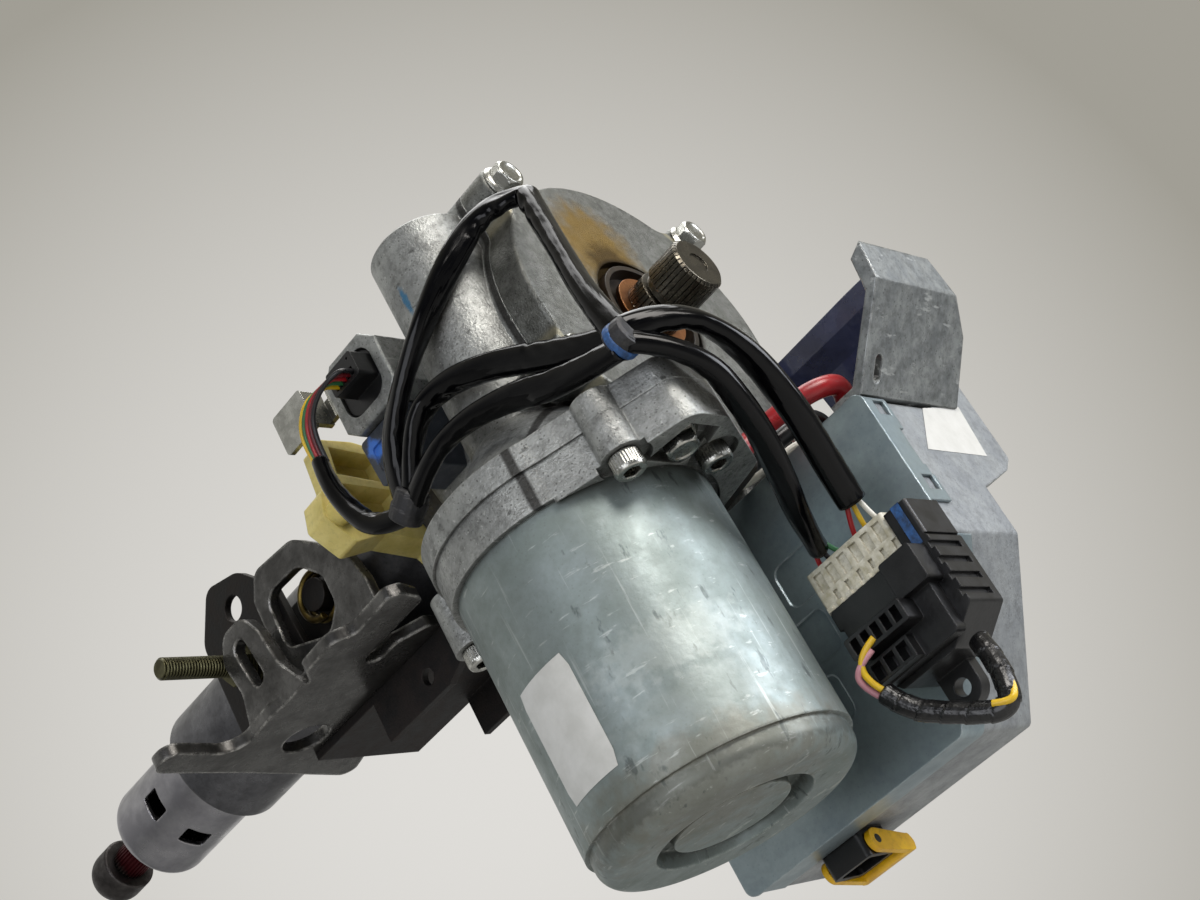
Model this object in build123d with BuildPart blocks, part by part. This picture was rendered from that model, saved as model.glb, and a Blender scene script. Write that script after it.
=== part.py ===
from build123d import *
import os
from math import asin, cos, degrees, hypot, pi, radians, sin, sqrt, tan

# Electric power steering unit on its steering column, in millimetres.
# X is the column axis and points to the output shaft. Z is up, and the motor hangs down.
# The origin is where the column axis meets the front face of the gearbox cover.

os.makedirs("parts", exist_ok=True)

# Gear pair
centre_distance = 52.0
wheel_teeth = 41
worm_starts = 2
worm_pitch_r = 7.0
wheel_setback = 33.5
wheel_width = 13.0
tooth_backlash = 0.9
hub_r = 34.0
worm_length = 36.0

# Gearbox casting
cover_thickness = 12.0
bay_clearance = 2.3
bay_wall = 4.8
drum_taper = 3.0
lug_overhang = 7.7
lug_angles = (40.0, 130.0, 205.0, 310.0)
lug_r = 7.5
lug_depth = 24.0
bolt_reach = 8.0
barrel_r = 18.0
plug_bore = 13.0
shaft_tail = 13.0
coupling_drop = 13.5
gear_flange_t = 8.5
boss_r = 7.0

# Motor
motor_flange_t = 13.5
can_r = 42.5
can_length = 92.2
can_wall = 2.2
can_step = 9.0
can_edge_r = 6.0
motor_shaft_r = 5.0
core_length = 55.0
magnet_thickness = 5.2
magnet_gap = 2.1

# Shafts on the column axis
output_tip = 24.7
spline_r = 10.4
spline_teeth = 36
journal_r = 12.5
torsion_r = 4.0
torsion_end_r = 6.0
input_r = 8.4
input_bore_wall = 3.5
wheel_spline_r = 7.4

# Ball bearings: outer radius, bore radius, width
shaft_bearing = (23.5, journal_r, 12.0)
worm_bearing = (13.0, motor_shaft_r, 8.0)

# Column
sensor_length = 34.0
sensor_r = 33.0
tube_r = 26.0
tube_length = 184.0
tube_wall = 3.2
bush_wall = 1.8
sleeve_reach = 56.0
sleeve_wall = 2.0
shaft_reach = 24.0
nut_r = 11.5

# Fits
fit = 0.02
running = 0.05
gap = 0.3

# Fasteners
m6_r = 3.0
m6_hole_r = 3.3
m8_r = 4.0
cap_head_r = 5.0
cap_head_h = 6.0
hex_across = 10.0
hex_head_h = 6.0
washer_flange_r = 7.1

# Tilt mounting
pivot_x = -104.0
pivot_z = -42.0
pivot_r = 5.0
tilt_bolt_x = -190.0
tilt_bolt_z = -9.0
tilt_angle = 2.2
plate_top = -37.0
plate_t = 4.5
wall_y = -50.0
wall_t = 4.0

# Control unit
unit_right = 42.5
unit_left = -82.0
unit_drop = 7.5
unit_height = 101.5
unit_gap = 15.5
unit_depth = 44.0
unit_chamfer = (32.0, 50.0)
unit_wall = 2.6
lid_sheet = 1.2

worm_x = -wheel_setback
worm_y = -centre_distance
wheel_pitch_r = centre_distance - worm_pitch_r
module = 2 * wheel_pitch_r / wheel_teeth
tooth_pitch = module * pi
worm_lead = worm_starts * tooth_pitch
addendum = module
dedendum = 1.2 * module
pressure = radians(20)
tooth_half = tooth_pitch / 4 - tooth_backlash / 2

joint_x = -cover_thickness
bay_r = wheel_pitch_r + addendum + bay_clearance
drum_r = bay_r + bay_wall
cover_r = drum_r + drum_taper
lug_circle_r = cover_r + lug_overhang
bay_front = joint_x
bay_back = worm_x - wheel_width / 2 - 4.0
rear_x = bay_back - shaft_bearing[2] - 2.0
bearing_z = wheel_pitch_r - 16.0
barrel_top = bearing_z + worm_bearing[2] + plug_bore
worm_shaft_bottom = -bearing_z - worm_bearing[2] - shaft_tail
flange_joint = worm_shaft_bottom - coupling_drop
flange_top = flange_joint + gear_flange_t
gear_flange_r = can_r + 3.0
can_top = flange_joint - motor_flange_t
can_end = can_top - can_length

sensor_back = rear_x - sensor_length
tube_front = sensor_back + 4.0
tube_end = tube_front - tube_length
sleeve_r = tube_r - tube_wall - bush_wall
sleeve_end = tube_end - sleeve_reach
shaft_end = sleeve_end - shaft_reach

unit_top = flange_joint - unit_drop
unit_bottom = unit_top - unit_height
unit_front = worm_y + can_r + unit_gap
unit_back = unit_front + unit_depth


def disc_plane(x):
    """Plane square to the column axis, facing the output end: its axes are Y and Z."""
    return Plane.YZ.offset(x)


def side_plane(y):
    """Plane square to Y, facing the near side: its axes are X and Z."""
    return Plane(origin=(0, y, 0), x_dir=(1, 0, 0), z_dir=(0, -1, 0))


def worm_plane(z):
    """Level plane with its origin on the worm's axis."""
    return Plane(origin=(worm_x, worm_y, z), x_dir=(1, 0, 0), z_dir=(0, 0, 1))


def ring(face, outside, inside, length):
    """Plain ring standing on a plane."""
    with BuildPart() as piece:
        with BuildSketch(face):
            Circle(outside)
            Circle(inside, mode=Mode.SUBTRACT)
        extrude(amount=length)
    return piece


def ball_bearing(face, sizes):
    """Sealed bearing with a sunk shield on both faces."""
    outside, bore, width = sizes
    rim = (outside - bore) * 0.22
    with BuildPart() as piece:
        with BuildSketch(face):
            Circle(outside)
            Circle(bore + fit, mode=Mode.SUBTRACT)
        extrude(amount=width)
        for level, depth in ((0, 0.6), (width, -0.6)):
            with BuildSketch(face.offset(level)):
                Circle(outside - rim)
                Circle(bore + rim, mode=Mode.SUBTRACT)
            extrude(amount=depth, mode=Mode.SUBTRACT)
    return piece


def flange_bolt(face, places, length):
    """M6 hexagon bolts with washer flanges, seated on a plane, their heads outward."""
    with BuildPart() as piece:
        with BuildSketch(face):
            with Locations(*places):
                Circle(washer_flange_r)
        extrude(amount=1.4, taper=15)
        with BuildSketch(face.offset(1.0)):
            with Locations(*places):
                RegularPolygon(hex_across / 2, 6, major_radius=False)
        extrude(amount=hex_head_h - 1.0)
        with BuildSketch(face.offset(hex_head_h)):
            with Locations(*places):
                Circle(hex_across / 2 - 1.4)
        extrude(amount=-0.6, mode=Mode.SUBTRACT)
        with BuildSketch(face):
            with Locations(*places):
                Circle(m6_r)
        extrude(amount=-length)
    return piece


def cap_screw(face, places, length, radius=m6_r, head_r=cap_head_r, head_h=cap_head_h):
    """Socket cap screws seated on a plane, their heads outward."""
    with BuildPart() as piece:
        with BuildSketch(face):
            with Locations(*places):
                Circle(head_r)
        extrude(amount=head_h)
        with BuildSketch(face.offset(head_h)):
            with Locations(*places):
                RegularPolygon(head_r / 2, 6, major_radius=False)
        extrude(amount=-head_h * 0.6, mode=Mode.SUBTRACT)
        with BuildSketch(face):
            with Locations(*places):
                Circle(radius)
        extrude(amount=-length)
    return piece


def keep(piece, name):
    """Label a finished piece and write it out."""
    piece.part.label = name
    export_step(piece.part, f"parts/{name}.step")


# Output shaft: two splined lengths with a neck between, and a bore behind for the torsion bar
spline_depth = 0.9
neck_r = spline_r - 1.7
neck_x = output_tip - 13.2
second_spline_x = neck_x - 3.4
shoulder_x = -1.0
output_back = rear_x - 16.0
torsion_front = -14.0
groove_w = 2 * pi * spline_r / spline_teeth * 0.24
with BuildPart() as output_shaft:
    with BuildSketch(Plane.XY):
        with BuildLine():
            Polyline(
                (output_back, 0), (output_back, journal_r), (shoulder_x, journal_r),
                (shoulder_x, spline_r), (second_spline_x, spline_r),
                (second_spline_x + 0.8, neck_r), (neck_x - 0.8, neck_r), (neck_x, spline_r),
                (output_tip - 1.0, spline_r), (output_tip, spline_r - 1.0), (output_tip, 0),
                close=True,
            )
        make_face()
    revolve(axis=Axis.X)
    for spline_front, spline_back in ((output_tip, neck_x), (second_spline_x, shoulder_x + 2.4)):
        with BuildSketch(disc_plane(spline_front)):
            with PolarLocations(spline_r, spline_teeth):
                Rectangle(2 * spline_depth, groove_w)
        extrude(amount=spline_back - spline_front, mode=Mode.SUBTRACT)
    with BuildSketch(disc_plane(output_tip)):
        Circle(spline_r * 0.38)
    extrude(amount=-0.5, mode=Mode.SUBTRACT)
    with BuildSketch(disc_plane(output_back)):
        Circle(torsion_end_r + fit)
    extrude(amount=torsion_front - output_back, mode=Mode.SUBTRACT)
    with Locations(Plane(origin=(torsion_front - 8, 0, 0), z_dir=(0, 0, 1))):
        Cylinder(1.5 + fit, 4 * journal_r, mode=Mode.SUBTRACT)
keep(output_shaft, "output_shaft")

# Copper dust ring at the root of the shaft, in the mouth of the cover
dust_ring = ring(disc_plane(shoulder_x), spline_r + 3.8, spline_r + fit, 1.8)
keep(dust_ring, "dust_ring")

# Steel hub of the worm wheel, pressed on the shaft
wheel_back = worm_x - wheel_width / 2
wheel_front = worm_x + wheel_width / 2
web_inner_r = journal_r + 6.0
web_outer_r = hub_r - 4.0
with BuildPart() as wheel_hub:
    with BuildSketch(disc_plane(wheel_back)):
        Circle(hub_r)
        Circle(journal_r + fit, mode=Mode.SUBTRACT)
    extrude(amount=wheel_width)
    for level, depth in ((wheel_back, 4.0), (wheel_front, -4.0)):
        with BuildSketch(disc_plane(level)):
            Circle(web_outer_r)
            Circle(web_inner_r, mode=Mode.SUBTRACT)
        extrude(amount=depth, mode=Mode.SUBTRACT)
    with BuildSketch(disc_plane(wheel_back)):
        with PolarLocations((web_inner_r + web_outer_r) / 2, 6):
            Circle(3.2)
    extrude(amount=wheel_width, mode=Mode.SUBTRACT)
keep(wheel_hub, "wheel_hub")

# Moulded rim of the worm wheel, its teeth leaning with the worm's thread
wheel_tip_r = wheel_pitch_r + addendum
wheel_root_r = wheel_pitch_r - dedendum
lean = degrees(worm_lead / (2 * pi * worm_pitch_r) * wheel_width / 2 / wheel_pitch_r)


def toothed_outline(face, turn):
    """Whole outline of the rim, its teeth turned about the axis by so many degrees."""
    with BuildSketch(face) as outline:
        Circle(wheel_root_r)
        with PolarLocations(0, wheel_teeth, start_angle=180 + turn):
            with BuildLine():
                Polyline(
                    (wheel_root_r - 0.6, -tooth_half - dedendum * tan(pressure)),
                    (wheel_tip_r, -tooth_half + addendum * tan(pressure)),
                    (wheel_tip_r, tooth_half - addendum * tan(pressure)),
                    (wheel_root_r - 0.6, tooth_half + dedendum * tan(pressure)),
                    close=True,
                )
            make_face()
    return outline.sketch


with BuildPart() as wheel_rim:
    add(toothed_outline(disc_plane(wheel_back), -lean))
    add(toothed_outline(disc_plane(wheel_front), lean))
    loft(ruled=True)
    with BuildSketch(disc_plane(wheel_back)):
        Circle(hub_r + fit)
    extrude(amount=wheel_width, mode=Mode.SUBTRACT)
keep(wheel_rim, "wheel_rim")

# Worm shaft: two thread starts twisted along a shouldered shaft
worm_tip_r = worm_pitch_r + addendum
worm_root_r = worm_pitch_r - dedendum
with BuildSketch(worm_plane(-worm_length / 2)) as thread_section:
    Circle(worm_root_r)
    with PolarLocations(0, worm_starts, start_angle=-180 * worm_length / worm_lead):
        with BuildLine():
            lobe = [
                (radius, degrees(360 / worm_lead * half * pi / 180))
                for radius, half in (
                    (worm_root_r - 0.2, tooth_half + dedendum * tan(pressure)),
                    (worm_pitch_r, tooth_half),
                    (worm_tip_r, tooth_half - addendum * tan(pressure)),
                )
            ]
            corners = [(r * cos(radians(a)), -r * sin(radians(a))) for r, a in lobe]
            corners += [(r * cos(radians(a)), r * sin(radians(a))) for r, a in reversed(lobe)]
            Polyline(*corners, close=True)
        make_face()
thread = Solid.extrude_linear_with_rotation(
    thread_section.sketch.faces()[0], (worm_x, worm_y, -worm_length / 2), (0, 0, worm_length),
    360 * worm_length / worm_lead,
)
with BuildPart() as worm_shaft:
    add(thread)
    for low, high, radius in (
        (worm_length / 2, bearing_z, 6.6),
        (bearing_z, bearing_z + worm_bearing[2], worm_bearing[1]),
        (-bearing_z, -worm_length / 2, 6.6),
        (worm_shaft_bottom, -bearing_z, worm_bearing[1]),
    ):
        with BuildSketch(worm_plane(low)):
            Circle(radius)
        extrude(amount=high - low)
keep(worm_shaft, "worm_shaft")

# Cast gearbox housing: wheel bay, worm barrel, motor flange, ear, lugs and rear bearing seat
ear_reach = can_r + 16.5
ear_ends = ((ear_reach, -13.0, 7.5), (ear_reach, -4.0, 7.5), (can_r + 1.5, 26.0, 7.0))
lug_places = [(lug_circle_r * cos(radians(a)), lug_circle_r * sin(radians(a)))
              for a in lug_angles]
screw_circle_r = can_r + 8.3
screw_angles = (-30.0, 9.0)
far_screw_angle = 186.0
screw_places = [(screw_circle_r * cos(radians(a)), screw_circle_r * sin(radians(a)))
                for a in (*screw_angles, far_screw_angle)]
ear_bolt = (can_r + 10.0, -9.0)
pad_places = (-46.0, -24.0)
pad_y = 31.0
worm_bore_r = worm_tip_r + 2.8
plug_r = worm_bearing[0] + 0.6
coupling_bay_r = 15.0
motor_spigot_r = 27.0


def draw_cover(outline, grow):
    """Round cover with its four lugs drawn in an open sketch, the corners beside each lug rounded."""
    Circle(cover_r + grow)
    for angle in lug_angles:
        with PolarLocations(lug_circle_r - 8, 1, start_angle=angle):
            Rectangle(16, 2 * (lug_r + grow))
    with Locations(*lug_places):
        Circle(lug_r + grow)
    waist = outline.vertices().filter_by(
        lambda v: abs(hypot(v.X, v.Y) - cover_r - grow) < 0.01
    )
    fillet(waist, 9.0)


def flange_outline(face, radius):
    """Round motor flange with its ear on the output side and a round boss at each screw."""
    with BuildSketch(face) as outline:
        with BuildSketch(mode=Mode.PRIVATE) as hull:
            Circle(radius - 0.5)
            for x, y, r in ear_ends:
                with Locations((x, y)):
                    Circle(r)
            make_hull()
        Circle(radius)
        add(hull.sketch)
        with Locations(*screw_places):
            Circle(boss_r)
    return outline.sketch


with BuildPart() as gear_housing:
    with BuildSketch(Plane.XY):
        with BuildLine():
            Polyline(
                (joint_x, 0), (joint_x, cover_r), (joint_x - 7, cover_r),
                (joint_x - 9, drum_r), (bay_back + 2, drum_r), (bay_back - 5, sensor_r + 5),
                (rear_x, sensor_r + 1), (rear_x, 0), close=True,
            )
        make_face()
    revolve(axis=Axis.X)
    fillet(gear_housing.edges().filter_by(GeomType.CIRCLE).group_by(SortBy.RADIUS)[-3:-1][0], 1.0)
    with BuildSketch(worm_plane(flange_top)):
        Circle(barrel_r)
    extrude(amount=barrel_top - flange_top)
    barrel_rim = gear_housing.edges().filter_by(GeomType.CIRCLE).filter_by_position(
        Axis.Z, barrel_top - 0.1, barrel_top + 0.1
    )
    chamfer(barrel_rim, 1.2)
    with BuildSketch(worm_plane(flange_top - 1)):
        Circle(gear_flange_r - 6)
    extrude(amount=24, taper=42)
    add(flange_outline(worm_plane(flange_joint), gear_flange_r))
    extrude(amount=gear_flange_t)
    with BuildSketch(disc_plane(joint_x)) as housing_face:
        draw_cover(housing_face, 0)
    extrude(amount=-7)
    with BuildSketch(disc_plane(joint_x)):
        with Locations(*lug_places):
            Circle(lug_r)
        for angle in lug_angles:
            with PolarLocations(lug_circle_r - 8, 1, start_angle=angle):
                Rectangle(16, 2 * lug_r)
    extrude(amount=-lug_depth)
    with BuildSketch(Plane.XY.offset(unit_top + 3)):
        for x in pad_places:
            with Locations((x, pad_y)):
                RectangleRounded(20, 24, 4)
    extrude(amount=34)
    with BuildSketch(disc_plane(joint_x)) as cover_space:
        draw_cover(cover_space, 0.8)
    extrude(amount=4 * cover_thickness, mode=Mode.SUBTRACT)
    with BuildSketch(disc_plane(bay_front)):
        Circle(bay_r)
    extrude(amount=bay_back - bay_front, mode=Mode.SUBTRACT)
    with BuildSketch(disc_plane(bay_back)):
        Circle(shaft_bearing[0] + fit)
    extrude(amount=-shaft_bearing[2], mode=Mode.SUBTRACT)
    with BuildSketch(disc_plane(rear_x)):
        Circle(shaft_bearing[0] - 4)
    extrude(amount=6, mode=Mode.SUBTRACT)
    for low, high, radius in (
        (-bearing_z, bearing_z, worm_bore_r),
        (bearing_z, bearing_z + worm_bearing[2] + 0.5, worm_bearing[0] + fit),
        (bearing_z + worm_bearing[2], barrel_top, plug_r + fit),
        (-bearing_z - worm_bearing[2], -bearing_z, worm_bearing[0] + fit),
        (flange_joint, -bearing_z - worm_bearing[2], coupling_bay_r),
        (flange_joint, flange_joint + 4, motor_spigot_r + fit),
    ):
        with BuildSketch(worm_plane(low)):
            Circle(radius)
        extrude(amount=high - low, mode=Mode.SUBTRACT)
    with BuildSketch(disc_plane(joint_x)):
        with Locations(*lug_places):
            Circle(m6_r + fit)
    extrude(amount=-bolt_reach - 1, mode=Mode.SUBTRACT)
    with BuildSketch(worm_plane(flange_joint)):
        with Locations(*screw_places, ear_bolt):
            Circle(m6_r + fit)
    extrude(amount=gear_flange_t, mode=Mode.SUBTRACT)
keep(gear_housing, "gear_housing")

# Round cover with four bolt lugs, a spigot, a boss for the front bearing and the shaft's mouth
mouth_r = 22.5
mouth_depth = 3.0
seal_r = 20.0
front_bearing_x = -mouth_depth - 3.0
cover_boss_r = shaft_bearing[0] + 4.5
with BuildPart() as gear_cover:
    with BuildSketch(disc_plane(joint_x)) as cover_face:
        draw_cover(cover_face, 0)
    extrude(amount=cover_thickness)
    fillet(gear_cover.edges().group_by(Axis.X)[-1], 1.4)
    with BuildSketch(disc_plane(joint_x)):
        Circle(bay_r - fit)
    extrude(amount=-3)
    with BuildSketch(disc_plane(joint_x)):
        Circle(cover_boss_r)
    extrude(amount=front_bearing_x - shaft_bearing[2] - joint_x)
    with BuildSketch(disc_plane(0)):
        Circle(mouth_r)
    extrude(amount=-mouth_depth, mode=Mode.SUBTRACT)
    with BuildSketch(disc_plane(0)):
        Circle(seal_r + fit)
    extrude(amount=front_bearing_x, mode=Mode.SUBTRACT)
    with BuildSketch(disc_plane(front_bearing_x)):
        Circle(shaft_bearing[0] + fit)
    extrude(amount=-3 * shaft_bearing[2], mode=Mode.SUBTRACT)
    with BuildSketch(disc_plane(0)):
        with Locations(*lug_places):
            Circle(m6_hole_r)
    extrude(amount=-cover_thickness, mode=Mode.SUBTRACT)
keep(gear_cover, "gear_cover")

# Four flange bolts hold the cover
cover_bolts = flange_bolt(disc_plane(0), lug_places, cover_thickness + bolt_reach)
keep(cover_bolts, "cover_bolts")

# Output seal: a pressed casing that stands proud of the mouth, and its lip
with BuildPart() as output_seal:
    with BuildSketch(Plane.XY):
        with BuildLine():
            Polyline(
                (front_bearing_x, journal_r + 3), (front_bearing_x, seal_r), (0.8, seal_r),
                (0.8, seal_r - 1.8), (-3.6, seal_r - 2.2), (-3.6, journal_r + running),
                (-5.0, journal_r + running), (-5.0, journal_r + 3), close=True,
            )
        make_face()
    revolve(axis=Axis.X)
keep(output_seal, "output_seal")

# Front and rear bearings of the output shaft
with BuildPart() as shaft_bearings:
    add(ball_bearing(disc_plane(front_bearing_x - shaft_bearing[2]), shaft_bearing).part)
    add(ball_bearing(disc_plane(bay_back - shaft_bearing[2]), shaft_bearing).part)
keep(shaft_bearings, "shaft_bearings")

# Adjusting plug screwed into the top of the worm barrel
plug_bottom = bearing_z + worm_bearing[2] + 0.5
with BuildPart() as adjuster_plug:
    with BuildSketch(worm_plane(plug_bottom)):
        Circle(plug_r)
    extrude(amount=barrel_top - 1.5 - plug_bottom)
    chamfer(adjuster_plug.edges().group_by(Axis.Z)[-1], 0.8)
    with BuildSketch(worm_plane(barrel_top - 1.5)):
        RegularPolygon(5.0, 6, major_radius=False)
    extrude(amount=-5, mode=Mode.SUBTRACT)
keep(adjuster_plug, "adjuster_plug")

# Jaw coupling between the worm and the motor shaft
coupling_r = 11.0
coupling_top = -bearing_z - worm_bearing[2] - 2.5
motor_shaft_top = worm_shaft_bottom - 1.0
coupling_bottom = motor_shaft_top - 10.5
with BuildPart() as coupling:
    with BuildSketch(worm_plane(coupling_bottom)):
        Circle(coupling_r)
        Circle(motor_shaft_r + fit, mode=Mode.SUBTRACT)
    extrude(amount=coupling_top - coupling_bottom)
    chamfer(coupling.edges().filter_by(GeomType.CIRCLE).group_by(SortBy.RADIUS)[-1], 1.0)
    with BuildSketch(worm_plane(motor_shaft_top + 0.5)):
        Circle(coupling_r + 1)
        Circle(coupling_r - 1.5, mode=Mode.SUBTRACT)
    extrude(amount=2.0, mode=Mode.SUBTRACT)
keep(coupling, "coupling")

# Motor flange: cast plate with a spigot, an ear with a sunk pocket, and the front bearing seat
motor_bearing_top = can_top + 12.0
screw_seat = can_top + 2.0
pocket_floor = can_top + 4.0
with BuildPart() as motor_flange:
    add(flange_outline(worm_plane(flange_joint), can_r + 2.0))
    extrude(amount=-motor_flange_t)
    with BuildSketch(worm_plane(flange_joint)):
        Circle(motor_spigot_r)
    extrude(amount=3.5)
    with BuildSketch(worm_plane(can_top)):
        with BuildLine():
            Polyline((can_r + 2.5, -17.5), (ear_reach + 3.0, -14.5), (ear_reach + 3.0, -1.0),
                     (can_r + 9.5, 1.5), (can_r + 2.5, -2.0), close=True)
        make_face()
    extrude(amount=pocket_floor - can_top, mode=Mode.SUBTRACT)
    with BuildSketch(worm_plane(can_top)):
        with Locations(*screw_places):
            Circle(cap_head_r + 3.5)
    extrude(amount=screw_seat - can_top, mode=Mode.SUBTRACT)
    with BuildSketch(worm_plane(can_top)):
        Circle(can_r + 2.0)
        Circle(can_r - can_wall - fit, mode=Mode.SUBTRACT)
    extrude(amount=1.5, mode=Mode.SUBTRACT)
    with BuildSketch(worm_plane(can_top)):
        Circle(worm_bearing[0] + fit)
    extrude(amount=motor_bearing_top - can_top, mode=Mode.SUBTRACT)
    with BuildSketch(worm_plane(can_top)):
        Circle(coupling_r + 1.2)
        with Locations(*screw_places, ear_bolt):
            Circle(m6_hole_r)
    extrude(amount=motor_flange_t + 4, mode=Mode.SUBTRACT)
keep(motor_flange, "motor_flange")

# Fasteners of the motor: three cap screws and one hexagon bolt in the ear's pocket
under = Plane(origin=(worm_x, worm_y, screw_seat), x_dir=(1, 0, 0), z_dir=(0, 0, -1))
under_pocket = Plane(origin=(worm_x, worm_y, pocket_floor), x_dir=(1, 0, 0), z_dir=(0, 0, -1))
with BuildPart() as motor_fasteners:
    add(cap_screw(under, [(x, -y) for x, y in screw_places], flange_top - 2 - screw_seat).part)
    add(flange_bolt(under_pocket, [(ear_bolt[0], -ear_bolt[1])], flange_top - 2 - pocket_floor).part)
keep(motor_fasteners, "motor_fasteners")

# Motor can: drawn steel cup with a step near its end, a rolled edge and a sunk end disc
end_recess_r = 25.0
end_disc_r = 19.0
end_recess = 5.5
rear_seat = can_end + end_recess
with BuildPart() as motor_can:
    with BuildSketch(worm_plane(can_top + 1.5)):
        Circle(can_r)
    extrude(amount=can_end + can_step - can_top - 1.5)
    with BuildSketch(worm_plane(can_end + can_step)):
        Circle(can_r - 1.3)
    extrude(amount=-can_step)
    fillet(motor_can.edges().group_by(Axis.Z)[0], can_edge_r)
    with BuildSketch(worm_plane(can_end)):
        Circle(end_recess_r)
    extrude(amount=end_recess, taper=12, mode=Mode.SUBTRACT)
    with BuildSketch(worm_plane(can_end + end_recess + 0.1)):
        Circle(end_disc_r)
    extrude(amount=-end_recess + 1.6, taper=8)
    with BuildSketch(worm_plane(can_top + 1.5)):
        Circle(can_r - can_wall)
    extrude(amount=can_end + 11.0 - can_top - 1.5, mode=Mode.SUBTRACT)
    with BuildSketch(worm_plane(can_end + 11.0)):
        Circle(worm_bearing[0] + fit)
    extrude(amount=-worm_bearing[2], mode=Mode.SUBTRACT)
keep(motor_can, "motor_can")

# Four small bearings of one size: two carry the worm, two the motor shaft
with BuildPart() as small_bearings:
    for face in (bearing_z, -bearing_z - worm_bearing[2], motor_bearing_top - worm_bearing[2],
                 can_end + 11.0 - worm_bearing[2]):
        add(ball_bearing(worm_plane(face), worm_bearing).part)
keep(small_bearings, "small_bearings")

# Rotor: shaft, slotted laminated core and commutator in one wound piece
core_top = can_top - 22.0
core_r = can_r - can_wall - magnet_thickness - magnet_gap
core_slots = 14
with BuildPart() as rotor:
    with BuildSketch(worm_plane(can_end + 11.0 - worm_bearing[2] + 0.5)):
        Circle(motor_shaft_r)
    extrude(amount=motor_shaft_top - can_end - 11.0 + worm_bearing[2] - 0.5)
    with BuildSketch(worm_plane(core_top - core_length)):
        Circle(core_r)
        with PolarLocations(core_r - 3, core_slots):
            Rectangle(8, 2.6)
            with Locations((-7, 0)):
                Circle(2.8)
        Circle(core_r - 14, mode=Mode.ADD)
    extrude(amount=core_length)
    with BuildSketch(worm_plane(core_top + 4)):
        Circle(14)
    extrude(amount=12)
keep(rotor, "rotor")

# Two curved magnets bonded inside the can
magnet_r = can_r - can_wall - fit
with BuildPart() as magnets:
    with BuildSketch(worm_plane(core_top - core_length - 3)):
        Circle(magnet_r)
        Circle(magnet_r - magnet_thickness, mode=Mode.SUBTRACT)
        with PolarLocations(magnet_r, 2, start_angle=90):
            Rectangle(20, 24, mode=Mode.SUBTRACT)
    extrude(amount=core_length + 6)
keep(magnets, "magnets")

# Brush holder: moulded ring carrying two brush boxes under the flange
with BuildPart() as brush_holder:
    with BuildSketch(worm_plane(can_top - 6)):
        Circle(magnet_r)
        Circle(16, mode=Mode.SUBTRACT)
    extrude(amount=6 - fit)
    with BuildSketch(worm_plane(can_top - 6)):
        with PolarLocations(25, 2):
            Rectangle(18, 12)
    extrude(amount=-11)
keep(brush_holder, "brush_holder")

# Input shaft: from the torque sensor to the steering wheel, serrated at its end
input_front = output_back - 0.5
torsion_back = input_front - 66.0
serrations = 32
wheel_stub_r = 5.0
wheel_stub = 12.0
collar_r = torsion_end_r + input_bore_wall
with BuildPart() as input_shaft:
    with BuildSketch(Plane.XY):
        with BuildLine():
            Polyline(
                (input_front, 0), (input_front, collar_r), (torsion_back - 8, collar_r),
                (torsion_back - 10, input_r), (sleeve_end - 2, input_r),
                (sleeve_end - 3, wheel_spline_r), (shaft_end, wheel_spline_r),
                (shaft_end, wheel_stub_r), (shaft_end - wheel_stub, wheel_stub_r),
                (shaft_end - wheel_stub, 0), close=True,
            )
        make_face()
    revolve(axis=Axis.X)
    with BuildSketch(disc_plane(shaft_end)):
        with PolarLocations(wheel_spline_r, serrations):
            Rectangle(1.1, 0.8)
    extrude(amount=14.0, mode=Mode.SUBTRACT)
    with BuildSketch(disc_plane(input_front)):
        Circle(torsion_end_r + fit)
    extrude(amount=torsion_back - input_front, mode=Mode.SUBTRACT)
    with Locations(Plane(origin=(torsion_back + 7, 0, 0), z_dir=(0, 0, 1))):
        Cylinder(1.5 + fit, 4 * journal_r, mode=Mode.SUBTRACT)
keep(input_shaft, "input_shaft")

# Torsion bar, slim between two thick pinned ends
with BuildPart() as torsion_bar:
    with BuildSketch(Plane.XY):
        with BuildLine():
            Polyline(
                (torsion_back + 0.2, 0), (torsion_back + 0.2, torsion_end_r),
                (torsion_back + 14, torsion_end_r), (torsion_back + 20, torsion_r),
                (torsion_front - 20, torsion_r), (torsion_front - 15, torsion_end_r),
                (torsion_front - 0.2, torsion_end_r), (torsion_front - 0.2, 0), close=True,
            )
        make_face()
    revolve(axis=Axis.X)
    for x in (torsion_back + 7, torsion_front - 8):
        with Locations(Plane(origin=(x, 0, 0), z_dir=(0, 0, 1))):
            Cylinder(1.5 + fit, 4 * journal_r, mode=Mode.SUBTRACT)
keep(torsion_bar, "torsion_bar")

# Pins that lock the bar to each shaft
for name, x, reach in (
    ("front_torsion_pin", torsion_front - 8, journal_r),
    ("rear_torsion_pin", torsion_back + 7, collar_r),
):
    with BuildPart() as pin:
        with BuildSketch(Plane(origin=(x, 0, -reach + 0.5), z_dir=(0, 0, 1))):
            Circle(1.5)
        extrude(amount=2 * reach - 1)
    keep(pin, name)

# Detection rings with windows, one on each side of the torsion bar
ring_width = 8.0
ring_r = 17.0
for name, x, bore in (
    ("output_detection_ring", output_back, journal_r),
    ("input_detection_ring", input_front - ring_width - 4, collar_r),
):
    with BuildPart() as detection_ring:
        with BuildSketch(disc_plane(x)):
            Circle(ring_r)
            Circle(bore + fit, mode=Mode.SUBTRACT)
        extrude(amount=ring_width)
        with BuildSketch(disc_plane(x)):
            with PolarLocations(ring_r, 12):
                Rectangle(3, 4)
        extrude(amount=ring_width * 0.6, mode=Mode.SUBTRACT)
    keep(detection_ring, name)

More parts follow.
